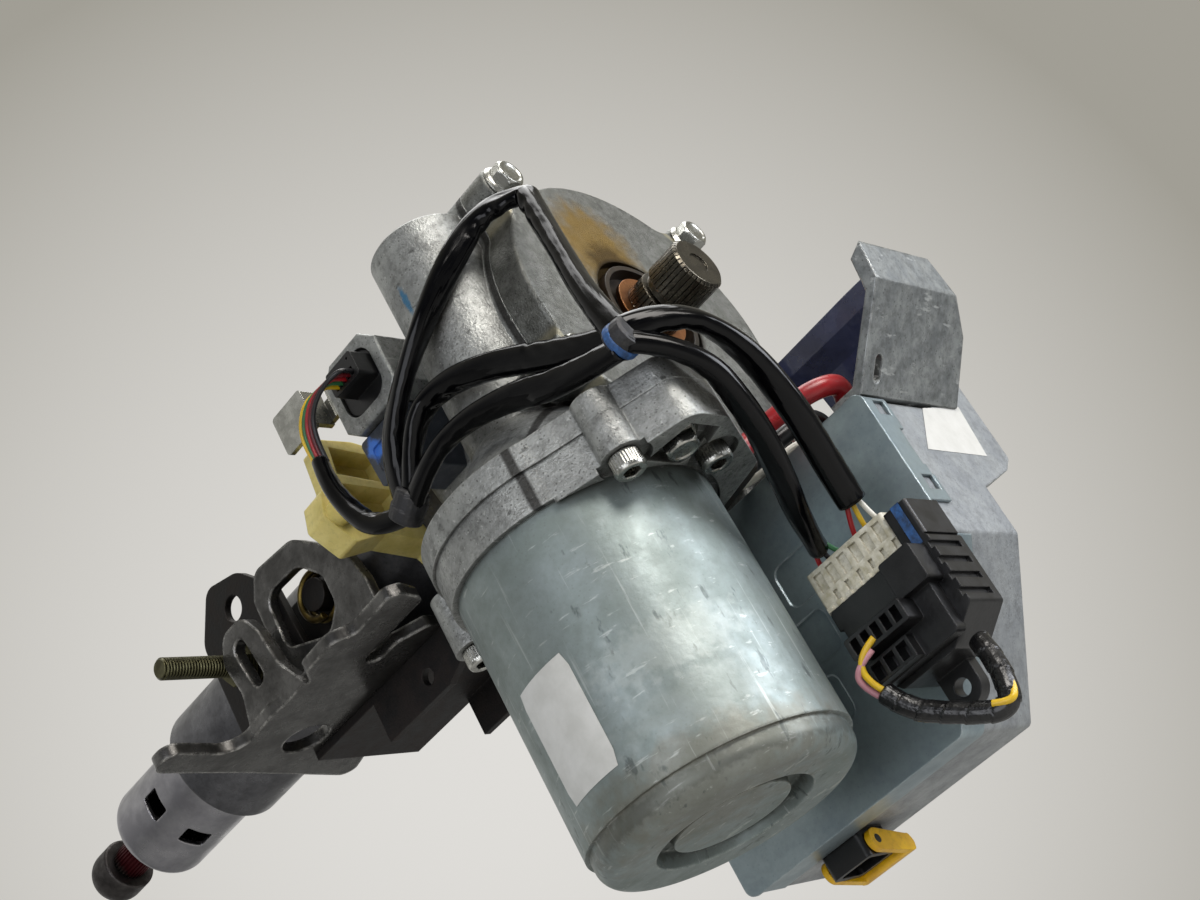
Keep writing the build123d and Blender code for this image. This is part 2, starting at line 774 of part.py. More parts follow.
# Sensor coil round both rings
coil_front = rear_x - 3.0
coil_back = sensor_back + 4.0
coil_r = sensor_r - 5.0
sensor_coil = ring(disc_plane(coil_back), coil_r, ring_r + 1.0, coil_front - coil_back)
keep(sensor_coil, "sensor_coil")

# Sensor housing: cast ring with a square arch on the near side that frames the connector
arch_left = sensor_back + 4.0
arch_right = rear_x - 1.0
arch_low = 10.0
arch_high = 39.0
arch_y = -63.0
arch_wall = 4.5
arch_centre = ((arch_left + arch_right) / 2, (arch_low + arch_high) / 2)
with BuildPart() as sensor_housing:
    with BuildSketch(disc_plane(sensor_back)):
        Circle(sensor_r)
    extrude(amount=sensor_length)
    fillet(sensor_housing.edges().group_by(Axis.X)[0], 3.0)
    with BuildSketch(side_plane(-16)):
        with BuildLine():
            Polyline(
                (arch_left, arch_low + 4), (arch_left + 4, arch_low), (arch_right - 5, arch_low),
                (arch_right, arch_low + 5), (arch_right, arch_high - 6),
                (arch_right - 6, arch_high), (arch_left + 6, arch_high),
                (arch_left, arch_high - 6), close=True,
            )
        make_face()
    extrude(amount=-arch_y - 16)
    fillet(sensor_housing.edges().group_by(Axis.Y)[0], 1.2)
    with BuildSketch(side_plane(arch_y)):
        with Locations(arch_centre):
            RectangleRounded(arch_right - arch_left - 2 * arch_wall,
                             arch_high - arch_low - 2 * arch_wall, 6.0)
    extrude(amount=arch_y + coil_r + 6, mode=Mode.SUBTRACT)
    with BuildSketch(disc_plane(sensor_back)):
        Circle(tube_r + fit)
    extrude(amount=4.0, mode=Mode.SUBTRACT)
    with BuildSketch(disc_plane(coil_back)):
        Circle(coil_r + fit)
    extrude(amount=sensor_length, mode=Mode.SUBTRACT)
keep(sensor_housing, "sensor_housing")

# Black connector: a round-cornered body that fills the arch, and the plug that stands out of it
plug_gap = 0.6
plug_reach = 9.0
with BuildPart() as sensor_connector:
    with BuildSketch(side_plane(arch_y + 12.0)):
        with Locations(arch_centre):
            RectangleRounded(arch_right - arch_left - 2 * (arch_wall + plug_gap),
                             arch_high - arch_low - 2 * (arch_wall + plug_gap), 5.5)
    extrude(amount=11.0)
    with BuildSketch(side_plane(arch_y + 1.0)):
        with Locations((arch_centre[0] + 2.0, arch_centre[1] + 1.0)):
            RectangleRounded(14.0, 9.5, 1.0)
    extrude(amount=plug_reach)
    with BuildSketch(side_plane(arch_y + 1.0 - plug_reach)):
        with Locations((arch_centre[0] + 2.0, arch_centre[1] - 1.0)):
            with GridLocations(2.1, 1.0, 5, 1):
                Rectangle(1.5, 3.0)
    extrude(amount=-4.0, mode=Mode.SUBTRACT)
    with BuildSketch(side_plane(arch_y + 1.0 - plug_reach)):
        with Locations((arch_centre[0] + 2.0, arch_centre[1] + 4.0)):
            with GridLocations(9.0, 1.0, 2, 1):
                Circle(0.5)
    extrude(amount=-1.0, mode=Mode.SUBTRACT)
keep(sensor_connector, "sensor_connector")

# Sensor cover: a small moulded carrier under the arch, narrowing downward
with BuildPart() as sensor_cover:
    with BuildSketch(side_plane(-26)):
        with BuildLine():
            FilletPolyline(
                (arch_left, arch_low - gap), (arch_right - 4, arch_low - gap),
                (arch_right - 14, -9), (arch_left + 1, -9), radius=1.5, close=True,
            )
        make_face()
    extrude(amount=33.0)
    with BuildSketch(side_plane(-59)):
        with Locations((arch_centre[0] - 4, 0)):
            RectangleRounded(14, 10, 1.5)
    extrude(amount=-1.0, mode=Mode.SUBTRACT)
    with BuildSketch(disc_plane(sensor_back)):
        Circle(sensor_r + fit)
    extrude(amount=sensor_length, mode=Mode.SUBTRACT)
keep(sensor_cover, "sensor_cover")

# Zinc-plated tab on the arch: a square head with one edge folded back, a neck and a foot
tab_t = 2.0
tab_y = arch_y - 3.0
tab_right = arch_left - 7.5
with BuildPart() as side_tab:
    with BuildSketch(side_plane(tab_y + tab_t)):
        with Locations((tab_right - 8.5, 32)):
            RectangleRounded(17, 16, 1.5)
    extrude(amount=tab_t)
    with BuildSketch(side_plane(tab_y)):
        with Locations((tab_right - tab_t / 2, 32)):
            Rectangle(tab_t, 14)
    extrude(amount=-9.0)
    with BuildSketch(side_plane(tab_y + 9.0)):
        with Locations(((tab_right - tab_t + arch_left - fit) / 2, 31)):
            Rectangle(arch_left - fit - tab_right + tab_t, 8)
    extrude(amount=-tab_t)
    with BuildSketch(side_plane(tab_y + 5.0)):
        with Locations((arch_left - tab_t / 2 - fit, 30)):
            Rectangle(tab_t, 12)
    extrude(amount=-14.0)
keep(side_tab, "side_tab")

# Column tube, socketed into the sensor housing, open at its back end
with BuildPart() as column_tube:
    with BuildSketch(disc_plane(tube_end)):
        Circle(tube_r)
    extrude(amount=tube_front - tube_end)
    with BuildSketch(disc_plane(tube_end)):
        Circle(tube_r - tube_wall)
    extrude(amount=tube_front - tube_end, mode=Mode.SUBTRACT)
keep(column_tube, "column_tube")

# Slip bush between the tube and the inner sleeve
tube_bore_r = tube_r - tube_wall
sleeve_bush = ring(disc_plane(tube_end + 0.5), tube_bore_r - fit, sleeve_r + fit, 14.0)
keep(sleeve_bush, "sleeve_bush")

# Inner sleeve: slides into the tube, drawn in at its end, with two windows
window_x = sleeve_end + 29.5
window_angles = (-173.0, -112.0)
with BuildPart() as inner_sleeve:
    with BuildSketch(disc_plane(sleeve_end)):
        Circle(sleeve_r)
    extrude(amount=88.0)
    fillet(inner_sleeve.edges().group_by(Axis.X)[0], 5.0)
    with BuildSketch(disc_plane(sleeve_end + sleeve_wall)):
        Circle(sleeve_r - sleeve_wall)
    extrude(amount=88.0, mode=Mode.SUBTRACT)
    with BuildSketch(disc_plane(sleeve_end)):
        Circle(13.0)
    extrude(amount=10.0, mode=Mode.SUBTRACT)
    for angle in window_angles:
        face = Plane(
            origin=(window_x, 0, 0), x_dir=(1, 0, 0),
            z_dir=(0, cos(radians(angle)), sin(radians(angle))),
        )
        with BuildSketch(face):
            RectangleRounded(9.0, 11.0, 1.2)
        extrude(amount=2 * sleeve_r, mode=Mode.SUBTRACT)
keep(inner_sleeve, "inner_sleeve")

# Upper bearing between the sleeve's end and the input shaft
upper_bearing_sizes = (sleeve_r - sleeve_wall - fit, input_r, 10.0)
upper_bearing = ball_bearing(disc_plane(sleeve_end + 5.5), upper_bearing_sizes)
keep(upper_bearing, "upper_bearing")

# Domed nut on the end of the input shaft
nut_length = 19.0
with BuildPart() as wheel_nut:
    with BuildSketch(disc_plane(shaft_end - gap)):
        Circle(nut_r)
    extrude(amount=gap - nut_length)
    fillet(wheel_nut.edges().group_by(Axis.X)[0], nut_r - 2)
    fillet(wheel_nut.edges().group_by(Axis.X)[-1], 1.0)
    with BuildSketch(disc_plane(shaft_end)):
        Circle(wheel_stub_r + fit)
    extrude(amount=-wheel_stub - gap, mode=Mode.SUBTRACT)
keep(wheel_nut, "wheel_nut")

# Pivot lug welded under the tube, bored for the pivot bolt
lug_half = 21.5
tube_seat_r = tube_r + fit
with BuildPart() as pivot_lug:
    with BuildSketch(side_plane(-lug_half)):
        with BuildSketch(mode=Mode.PRIVATE) as lug_shape:
            with Locations((pivot_x, pivot_z)):
                Circle(9.0)
            with Locations((pivot_x, -20)):
                Rectangle(22, 10)
            make_hull()
        add(lug_shape.sketch)
    extrude(amount=-2 * lug_half)
    with BuildSketch(side_plane(-lug_half)):
        with Locations((pivot_x, pivot_z)):
            Circle(pivot_r + running)
    extrude(amount=-2 * lug_half, mode=Mode.SUBTRACT)
    with BuildSketch(disc_plane(pivot_x - 20)):
        Circle(tube_seat_r)
    extrude(amount=40, mode=Mode.SUBTRACT)
keep(pivot_lug, "pivot_lug")

# Clamp block welded to the side of the tube: seat for the tilt stud and post for the spring
spring_centre = (-152.0, -5.0)
post_r = 6.0
block_y = -tube_r - 6.0
plate_inner_y = wall_y + wall_t + 3.0
block_face_y = plate_inner_y + gap
with BuildPart() as clamp_block:
    with BuildSketch(side_plane(-12)):
        with Locations(((tilt_bolt_x + spring_centre[0]) / 2, (tilt_bolt_z + spring_centre[1]) / 2)):
            RectangleRounded(62, 24, 6)
    extrude(amount=-block_y - 12)
    with BuildSketch(side_plane(-30)):
        with Locations((tilt_bolt_x, tilt_bolt_z)):
            Circle(9.0)
    extrude(amount=-block_face_y - 30.0)
    with BuildSketch(side_plane(-30)):
        with Locations(spring_centre):
            Circle(post_r)
    extrude(amount=12.0)
    with BuildSketch(side_plane(-12)):
        with Locations((tilt_bolt_x, tilt_bolt_z)):
            Circle(m8_r + fit)
    extrude(amount=60, mode=Mode.SUBTRACT)
    with BuildSketch(disc_plane(tilt_bolt_x - 30)):
        Circle(tube_seat_r)
    extrude(amount=100, mode=Mode.SUBTRACT)
keep(clamp_block, "clamp_block")

# Balance spring wound round its post
spring_r = 9.0
wire_r = 1.3
with BuildPart() as tilt_spring:
    with BuildLine() as coil_line:
        Helix(pitch=3.9, height=7.8, radius=spring_r,
              center=(spring_centre[0], block_y - wire_r - 0.1, spring_centre[1]),
              direction=(0, -1, 0))
    with BuildSketch(Plane(origin=coil_line.line @ 0, z_dir=coil_line.line % 0)):
        Circle(wire_r)
    sweep(is_frenet=True)
keep(tilt_spring, "tilt_spring")

# Tilt stud screwed into the block, with its threaded end out, and its nut and washer
stud_out = -86.0
with BuildPart() as tilt_stud:
    with BuildSketch(side_plane(-27.0)):
        with Locations((tilt_bolt_x, tilt_bolt_z)):
            Circle(m8_r)
    extrude(amount=-stud_out - 27.0)
    chamfer(tilt_stud.edges().group_by(Axis.Y)[0], 0.8)
nut_seat_y = wall_y + wall_t - gap
with BuildPart() as tilt_nut:
    with BuildSketch(side_plane(nut_seat_y)):
        with Locations((tilt_bolt_x, tilt_bolt_z)):
            Circle(8.5)
    extrude(amount=1.6)
    with BuildSketch(side_plane(nut_seat_y - 1.6)):
        with Locations((tilt_bolt_x, tilt_bolt_z)):
            RegularPolygon(6.5, 6, major_radius=False)
    extrude(amount=6.5)
    with BuildSketch(side_plane(nut_seat_y)):
        with Locations((tilt_bolt_x, tilt_bolt_z)):
            Circle(m8_r + fit)
    extrude(amount=20, mode=Mode.SUBTRACT)
with BuildPart() as tilt_fastener:
    add(tilt_stud.part)
    add(tilt_nut.part)
keep(tilt_fastener, "tilt_fastener")

# Mounting bracket: folded steel plate with tongue, hole, hook, slotted ear and arched side wall
hole_r = 9.0
hole_at = (-189.0, -37.0)
hook_y = (-46.0, -38.5)
hook_x = -141.0
ear_y = -58.0
ear_t = 5.0
wall_left = -172.0
wall_right = -119.5
with BuildPart() as mounting_bracket:
    with BuildSketch(Plane.XY.offset(plate_top - plate_t)) as plate_outline:
        with BuildLine():
            FilletPolyline(
                (-219, 6), (-209, -54), (-204, -94), (-192, -94), (-196, -62), (-173, -64),
                (-152, -61), (-146, -67), (-129, -68), (-124, -61), (-104, -62), (-101, -57),
                (-104, hook_y[0]), (hook_x, hook_y[0]), (hook_x, hook_y[1]), (-130, hook_y[1]),
                (wall_right, -31), (-120, -20), (-133, -7), (-176, -5),
                radius=[5, 12, 5, 5, 8, 3, 4, 6, 6, 4, 3, 3, 3, 3.7, 3.7, 4, 3, 3, 4, 10],
                close=True,
            )
        make_face()
        with Locations(hole_at):
            Circle(hole_r, mode=Mode.SUBTRACT)
    extrude(amount=plate_t)
    with BuildSketch(side_plane(ear_y)):
        with BuildLine():
            FilletPolyline(
                (-186, plate_top - plate_t), (-182, -26), (-185, -12), (-180, -3), (-168, -3),
                (-163, -12), (-160, -28), (-152, plate_top - plate_t),
                radius=[0, 8, 6, 6, 6, 8, 8, 0], close=True,
            )
        make_face()
        with Locations((-173, -19)):
            SlotOverall(20, 7, rotation=100, mode=Mode.SUBTRACT)
    extrude(amount=ear_t)
    with BuildSketch(side_plane(wall_y + wall_t)):
        with BuildLine():
            FilletPolyline(
                (wall_left, plate_top - plate_t), (wall_left, 6), (-166, 15), (-143, 12.5),
                (-123, -6), (wall_right, -21), (wall_right, plate_top - plate_t),
                radius=[0, 5, 6, 10, 8, 8, 0], close=True,
            )
        make_face()
        with BuildLine():
            FilletPolyline(
                (-166, -18), (-166, 4), (-146, 3), (-136.5, -8), (-136.5, -20), (-145, -27),
                radius=[5, 6, 9, 7, 6, 6], close=True,
            )
        make_face(mode=Mode.SUBTRACT)
    extrude(amount=wall_t)
keep(mounting_bracket, "mounting_bracket")

# Tilt plate: dark plate welded behind the arched wall, with the stud's slot across the tilt arc
stud_arm = hypot(tilt_bolt_x - pivot_x, tilt_bolt_z - pivot_z)
slot_travel = 2 * stud_arm * sin(radians(tilt_angle)) + 1.2
slot_lean = degrees(asin((tilt_bolt_z - pivot_z) / stud_arm))
with BuildPart() as tilt_plate:
    with BuildSketch(side_plane(wall_y + wall_t + 3.0)):
        with BuildLine():
            FilletPolyline(
                (-208, plate_top), (-209, 12), (-196, 29), (-178, 24), (-164, 8), (-160, plate_top),
                radius=[0, 8, 6, 10, 8, 0], close=True,
            )
        make_face()
        with Locations((tilt_bolt_x, tilt_bolt_z)):
            SlotCenterToCenter(slot_travel, 2 * m8_r + 1.2, rotation=90 - slot_lean,
                               mode=Mode.SUBTRACT)
        with Locations((-187, 14)):
            Circle(5.0, mode=Mode.SUBTRACT)
        with Locations((hole_at[0], plate_top)):
            RectangleRounded(2 * hole_r + 4, 28, 3, mode=Mode.SUBTRACT)
    extrude(amount=3.0)
keep(tilt_plate, "tilt_plate")

# Pivot bracket: rusty channel under the plate with two ears for the pivot bolt
ear_gap = lug_half + 0.5
ear_sheet = 3.0
channel_back = -200.0
with BuildPart() as pivot_bracket:
    with BuildSketch(Plane.XY.offset(plate_top - plate_t - 3.0)):
        with Locations(((channel_back + pivot_x - 14) / 2, 0)):
            Rectangle(pivot_x - 14 - channel_back, 2 * (ear_gap + ear_sheet))
    extrude(amount=3.0)
    for y, amount in ((-ear_gap, ear_sheet), (ear_gap + ear_sheet, ear_sheet)):
        with BuildSketch(side_plane(y)):
            with BuildLine():
                Polyline((-164, -44.4), (-164, -60), (-128, -60), (pivot_x, pivot_z - 9),
                         (pivot_x, pivot_z + 9), (pivot_x - 6, pivot_z + 6.7), (-121, -44.4),
                         close=True)
            make_face()
            with Locations((pivot_x, pivot_z)):
                Circle(9.0)
                Circle(pivot_r + fit, mode=Mode.SUBTRACT)
            with Locations((-135.4, -52)):
                Circle(3.0, mode=Mode.SUBTRACT)
        extrude(amount=amount)
keep(pivot_bracket, "pivot_bracket")

# Pivot bolt across both ears and the lug, with its head and nut
with BuildPart() as pivot_bolt:
    with BuildSketch(side_plane(-ear_gap - ear_sheet)):
        with Locations((pivot_x, pivot_z)):
            RegularPolygon(8.0, 6, major_radius=False)
    extrude(amount=6.0)
    with BuildSketch(side_plane(-ear_gap - ear_sheet)):
        with Locations((pivot_x, pivot_z)):
            Circle(pivot_r)
    extrude(amount=-2 * (ear_gap + ear_sheet) - 9.0)
    with BuildSketch(side_plane(ear_gap + ear_sheet)):
        with Locations((pivot_x, pivot_z)):
            RegularPolygon(8.0, 6, major_radius=False)
            Circle(pivot_r + fit, mode=Mode.SUBTRACT)
    extrude(amount=-8.0)
keep(pivot_bolt, "pivot_bolt")

# Nylon harness clip: a band round the tube and a hollowed arm on the near side with a holding post
clip_front = -107.0
clip_w = 10.0
clip_rib = 2.2
with BuildPart() as harness_clip:
    with BuildSketch(disc_plane(clip_front - clip_w)) as clip_outline:
        Circle(tube_r + 2.5)
        with BuildLine():
            FilletPolyline(
                (-16, 22), (-40, 28), (-55, 28), (-57, 11), (-66, 4), (-69, -6), (-60, -16),
                (-44, -12), (-18, -16), radius=2.0, close=True,
            )
        make_face()
    extrude(amount=clip_w)
    with BuildSketch(disc_plane(clip_front)):
        with BuildLine():
            Polyline((-31, 22), (-52, 25), (-54, 13), (-31, 10), close=True)
        make_face()
        with BuildLine():
            Polyline((-31, 7), (-53, 9), (-57, 5), (-57, -4), (-31, -8), close=True)
        make_face()
    extrude(amount=clip_rib - clip_w, mode=Mode.SUBTRACT)
    with BuildSketch(disc_plane(clip_front - clip_w)):
        with Locations((-63, -5)):
            Circle(4.5)
    extrude(amount=clip_w + 4.0)
    with BuildSketch(disc_plane(clip_front - 2 * clip_w)):
        Circle(tube_seat_r)
        with Locations((0, -tube_r - 4)):
            Rectangle(2 * (lug_half + gap), 30.5)
    extrude(amount=4 * clip_w, mode=Mode.SUBTRACT)
keep(harness_clip, "harness_clip")

# Control unit: cast box with a cut corner, open on the near side, with posts for the board
heat_block_depth = 30.0
heat_block_left = 4.0
heat_block_top = unit_top + 15.0


def unit_outline(grow):
    """Side view of the control unit, moved outward all round."""
    with BuildSketch(mode=Mode.PRIVATE) as outline:
        with BuildLine():
            FilletPolyline(
                (unit_left, unit_top), (unit_right, unit_top),
                (unit_right, unit_bottom + unit_chamfer[1]),
                (unit_right - unit_chamfer[0], unit_bottom),
                (unit_left, unit_bottom),
                radius=2.5, close=True,
            )
        make_face()
        if grow:
            offset(amount=grow)
    return outline.sketch


board_y = unit_front + 16.0
post_places = ((unit_left + 9, unit_top - 9), (unit_right - 9, unit_top - 9),
               (unit_left + 9, unit_bottom + 9), (unit_right - 9, unit_bottom + unit_chamfer[1] + 4))
with BuildPart() as unit_housing:
    with BuildSketch(side_plane(unit_front + lid_sheet)):
        add(unit_outline(0))
    extrude(amount=-unit_depth + lid_sheet)
    with BuildSketch(side_plane(unit_front + lid_sheet)):
        add(unit_outline(-unit_wall))
    extrude(amount=-unit_depth + lid_sheet + 4.0, mode=Mode.SUBTRACT)
    with BuildSketch(side_plane(board_y + 1.6)):
        with Locations(*post_places):
            Circle(3.5)
    extrude(amount=board_y + 1.6 - unit_back)
    with BuildSketch(Plane.XY.offset(unit_top)):
        for x in pad_places:
            with Locations((x, pad_y)):
                RectangleRounded(20, 24, 4)
    extrude(amount=3.0)
    with BuildSketch(disc_plane(heat_block_left)):
        with BuildLine():
            FilletPolyline(
                (unit_back, heat_block_top), (unit_back + heat_block_depth, heat_block_top),
                (unit_back + heat_block_depth, unit_top - 19.5), (unit_back + 23, unit_top - 25),
                (unit_back, unit_top - 33), radius=[0, 3, 3, 2, 0], close=True,
            )
        make_face()
    extrude(amount=unit_right - heat_block_left)
    with BuildSketch(side_plane(unit_back + heat_block_depth)):
        with Locations((heat_block_left + 19, unit_top - 2)):
            with GridLocations(6.0, 1.0, 5, 1):
                Rectangle(3.2, 24)
    extrude(amount=heat_block_depth / 2, mode=Mode.SUBTRACT)
    with BuildSketch(side_plane(unit_back)):
        for x in range(-70, 0, 10):
            with Locations((x, unit_top - 57)):
                Rectangle(3, 66)
    extrude(amount=-5.0)
keep(unit_housing, "unit_housing")

# Pressed cover of the control unit, zinc plated, with folded lips and a row of sunk squares
lip_depth = 13.0
square_x = -13.0
with BuildPart() as unit_lid:
    with BuildSketch(side_plane(unit_front)):
        add(unit_outline(lid_sheet))
    extrude(amount=-lip_depth)
    with BuildSketch(side_plane(unit_front + lid_sheet)):
        add(unit_outline(fit))
    extrude(amount=-lip_depth, mode=Mode.SUBTRACT)
    with BuildSketch(side_plane(unit_front + lid_sheet)):
        with Locations(((unit_left + unit_right) / 2, unit_top + 2)):
            Rectangle(unit_right - unit_left + 8, 6)
        with Locations((unit_left, (unit_top + unit_bottom) / 2)):
            Rectangle(8, 120)
        with Locations((unit_right, unit_top - 47)):
            Rectangle(8, 12)
    extrude(amount=-lip_depth, mode=Mode.SUBTRACT)
    for z in (unit_top - 5, unit_top - 34):
        with BuildSketch(disc_plane(unit_right)):
            with Locations((unit_front + 8, z)):
                Rectangle(6.5, 5.5)
        extrude(amount=4, mode=Mode.SUBTRACT)
    with BuildSketch(disc_plane(unit_right)):
        with Locations((unit_front + lip_depth, unit_top - 20)):
            Rectangle(5.0, 14.0)
        with Locations((unit_front + lip_depth, unit_top - 29)):
            Rectangle(2.4, 4.0)
    extrude(amount=4, mode=Mode.SUBTRACT)
    for index in range(3):
        with BuildSketch(side_plane(unit_front)):
            with Locations((square_x - 8 * index + 6, unit_top - 32 - 19 * index)):
                RectangleRounded(17, 15, 3.5)
        extrude(amount=-0.5, mode=Mode.SUBTRACT)
keep(unit_lid, "unit_lid")

# Circuit board on its posts
with BuildPart() as circuit_board:
    with BuildSketch(side_plane(board_y)):
        add(unit_outline(-unit_wall - 2))
    extrude(amount=-1.6)
    with BuildSketch(side_plane(board_y)):
        with Locations((-50, unit_top - 29), (-50, unit_top - 59), (-20, unit_top - 39)):
            Circle(8.0)
    extrude(amount=12.0)
keep(circuit_board, "circuit_board")

# Bent aluminium guard: a foot on the control unit, a leaning plate and a thicker upright flange
guard_t = 3.5
guard_lean = (25.8, 25.2)
guard_rise = 13.4
flange_t = 5.6
guard_width = 58.0
guard_x = unit_right + 1.0
guard_z = unit_top
guard_near = unit_front + lid_sheet + fit
bend_x = guard_x + guard_lean[0]
bend_z = guard_z + guard_lean[1]
lean_length = hypot(*guard_lean)
lean_dir = Vector(guard_lean[0] / lean_length, 0, guard_lean[1] / lean_length)
with BuildPart() as unit_guard:
    with BuildSketch(side_plane(guard_near)):
        with BuildLine():
            Polyline(
                (unit_right - 10, guard_z), (guard_x, guard_z), (bend_x, bend_z),
                (bend_x + 1.8, bend_z + guard_rise),
                (bend_x + 1.8 - flange_t, bend_z + guard_rise - 2.6), (bend_x - flange_t, bend_z - 0.8),
                (guard_x + 0.4 - guard_t / 2, guard_z + guard_t),
                (unit_right - 10, guard_z + guard_t), close=True,
            )
        make_face()
    extrude(amount=-guard_width)
    with BuildSketch(disc_plane(unit_right - 10)):
        with BuildLine():
            Polyline(
                (guard_near, guard_z), (guard_near + guard_width, guard_z),
                (guard_near + guard_width - 2, bend_z - 9),
                (guard_near + guard_width - 10, bend_z),
                (guard_near + guard_width - 17, bend_z + guard_rise),
                (guard_near, bend_z + guard_rise), close=True,
            )
        make_face()
    extrude(amount=bend_x - unit_right + 20, mode=Mode.INTERSECT)
    with BuildSketch(disc_plane(unit_right - 10)):
        with Locations((unit_back + guard_width / 2 - gap, guard_z)):
            Rectangle(guard_width, 4 * guard_t)
    extrude(amount=10 + gap, mode=Mode.SUBTRACT)
    slot_spot = Vector(guard_x, guard_near + 7.5, guard_z) + lean_dir * 8.5
    with BuildSketch(Plane(origin=slot_spot, x_dir=(0, 1, 0), z_dir=(-lean_dir.Z, 0, lean_dir.X))):
        SlotOverall(9.0, 4.0, rotation=90)
    extrude(amount=2 * flange_t, both=True, mode=Mode.SUBTRACT)
keep(unit_guard, "unit_guard")

# Dark splash sheet: a creased sheet that stands on the heat block and reaches behind the gearbox
sheet_y = unit_back + 12.0
sheet_t = 1.5
sheet_top = heat_block_top + 42.5
with BuildPart() as splash_sheet:
    with BuildSketch(disc_plane(heat_block_left - 12)):
        with BuildLine():
            Polyline(
                (sheet_y, sheet_top), (sheet_y - 1.5, sheet_top - 9), (sheet_y + 2, sheet_top - 17),
                (sheet_y + 1, heat_block_top),
            )
        trace(line_width=sheet_t)
    extrude(amount=70)
    with BuildSketch(side_plane(sheet_y - 8)):
        with BuildLine():
            FilletPolyline(
                (-8, sheet_top - 1), (44, sheet_top + 0.4), (57, bend_z + 8),
                (unit_right - 1, heat_block_top),
                (heat_block_left + 4, heat_block_top), (heat_block_left + 1, sheet_top - 15),
                (-6, sheet_top - 10), radius=[2, 4, 4, 0, 0, 5, 2], close=True,
            )
        make_face()
    extrude(amount=-20, mode=Mode.INTERSECT)
keep(splash_sheet, "splash_sheet")

# Header on the cover: black body that takes the harness plug from above and the signal plug below
header_left = 5.0
header_right = 45.5
header_top = unit_top - 55.0
header_bottom = unit_top - 87.0
header_face = unit_front - 19.0
header_step = 9.0
plug_height = 14.0
with BuildPart() as header:
    with BuildSketch(side_plane(unit_front)):
        with BuildLine():
            FilletPolyline((header_left, header_top), (header_right, header_top),
                           (header_right, header_bottom + 8), (header_right - 12, header_bottom),
                           (header_left + 8, header_bottom), (header_left, header_bottom + 10),
                           radius=1.5, close=True)
        make_face()
    extrude(amount=unit_front - header_face)
    with BuildSketch(Plane.XY.offset(header_top)):
        with Locations((header_right - header_step / 2, (unit_front + header_face) / 2)):
            RectangleRounded(header_step, unit_front - header_face, 1.0)
    extrude(amount=plug_height - 2.0)
    with BuildSketch(side_plane(header_face)):
        for index in range(4):
            with Locations((header_right, header_top - 4 - 5.5 * index)):
                Rectangle(2.4, 2.2)
        with Locations((header_left, header_top - 8), (header_left, header_top - 14)):
            Rectangle(2.4, 3.0)
    extrude(amount=header_face - unit_front + 3.0, mode=Mode.SUBTRACT)
    with BuildSketch(side_plane(unit_front)):
        with Locations((22, header_bottom - 3)):
            SlotOverall(18, 12, rotation=90)
    extrude(amount=5.0)
    with BuildSketch(side_plane(unit_front)):
        with Locations((22, header_bottom - 6)):
            Circle(2.8)
    extrude(amount=5.0, mode=Mode.SUBTRACT)
keep(header, "header")

# White harness plug: open chambers for the terminals on its near side, cavities on top
plug_bottom_z = header_top + fit
plug_top_z = plug_bottom_z + plug_height
plug_left = header_left - 1.0
plug_right = header_right - header_step - gap
plug_centre_x = (plug_left + plug_right) / 2
plug_centre_y = unit_front - 10.0
plug_depth = 16.0
plug_face = plug_centre_y - plug_depth / 2
with BuildPart() as harness_plug:
    with BuildSketch(Plane.XY.offset(plug_bottom_z)):
        with Locations((plug_centre_x, plug_centre_y)):
            RectangleRounded(plug_right - plug_left, plug_depth, 1.0)
    extrude(amount=plug_height)
    with BuildSketch(Plane.XY.offset(plug_top_z)):
        with Locations((plug_centre_x, plug_centre_y)):
            with GridLocations(5.0, 7.0, 6, 2):
                RectangleRounded(3.8, 5.0, 0.8)
    extrude(amount=-6.0, mode=Mode.SUBTRACT)
    with BuildSketch(side_plane(plug_face)):
        with Locations((plug_centre_x, plug_bottom_z + 9.5)):
            with GridLocations(5.0, 1.0, 6, 1):
                Rectangle(3.0, 6.0)
        with Locations((plug_centre_x + 2.5, plug_bottom_z + 3.4)):
            with GridLocations(5.0, 1.0, 6, 1):
                Rectangle(1.6, 3.4)
    extrude(amount=-1.2, mode=Mode.SUBTRACT)
    with BuildSketch(Plane.XY.offset(plug_bottom_z)):
        with Locations((plug_centre_x, plug_face - 0.5)):
            with GridLocations(4.0, 1.0, 8, 1):
                Rectangle(2.2, 1.4)
    extrude(amount=1.6)
keep(harness_plug, "harness_plug")

# Black signal plug: a ribbed bank, a latch block and open chambers on the header's near face
bank_z = header_top - 17.5
with BuildPart() as signal_plug:
    with BuildSketch(side_plane(header_face)):
        with Locations((25, header_top - 21)):
            RectangleRounded(30, 18, 1.5)
    extrude(amount=5.0)
    with BuildSketch(side_plane(header_face - 5.0)):
        with Locations((22, bank_z)):
            RectangleRounded(22, 7.0, 0.8)
    extrude(amount=8.0)
    with BuildSketch(side_plane(header_face - 13.0)):
        with Locations((22, bank_z)):
            with GridLocations(4.0, 1.0, 5, 1):
                Rectangle(2.6, 4.6)
    extrude(amount=-5.0, mode=Mode.SUBTRACT)
    with BuildSketch(side_plane(header_face)):
        with Locations((37, header_top - 8)):
            RectangleRounded(12, 12, 1.0)
    extrude(amount=9.0)
    with BuildSketch(side_plane(header_face - 5.0)):
        with Locations((19, header_top - 26)):
            Rectangle(16, 7.0)
    extrude(amount=4.0)
    with BuildSketch(side_plane(header_face - 9.0)):
        with Locations((19, header_top - 26)):
            with GridLocations(5.0, 1.0, 3, 1):
                Rectangle(3.6, 5.0)
    extrude(amount=-5.0, mode=Mode.SUBTRACT)
keep(signal_plug, "signal_plug")

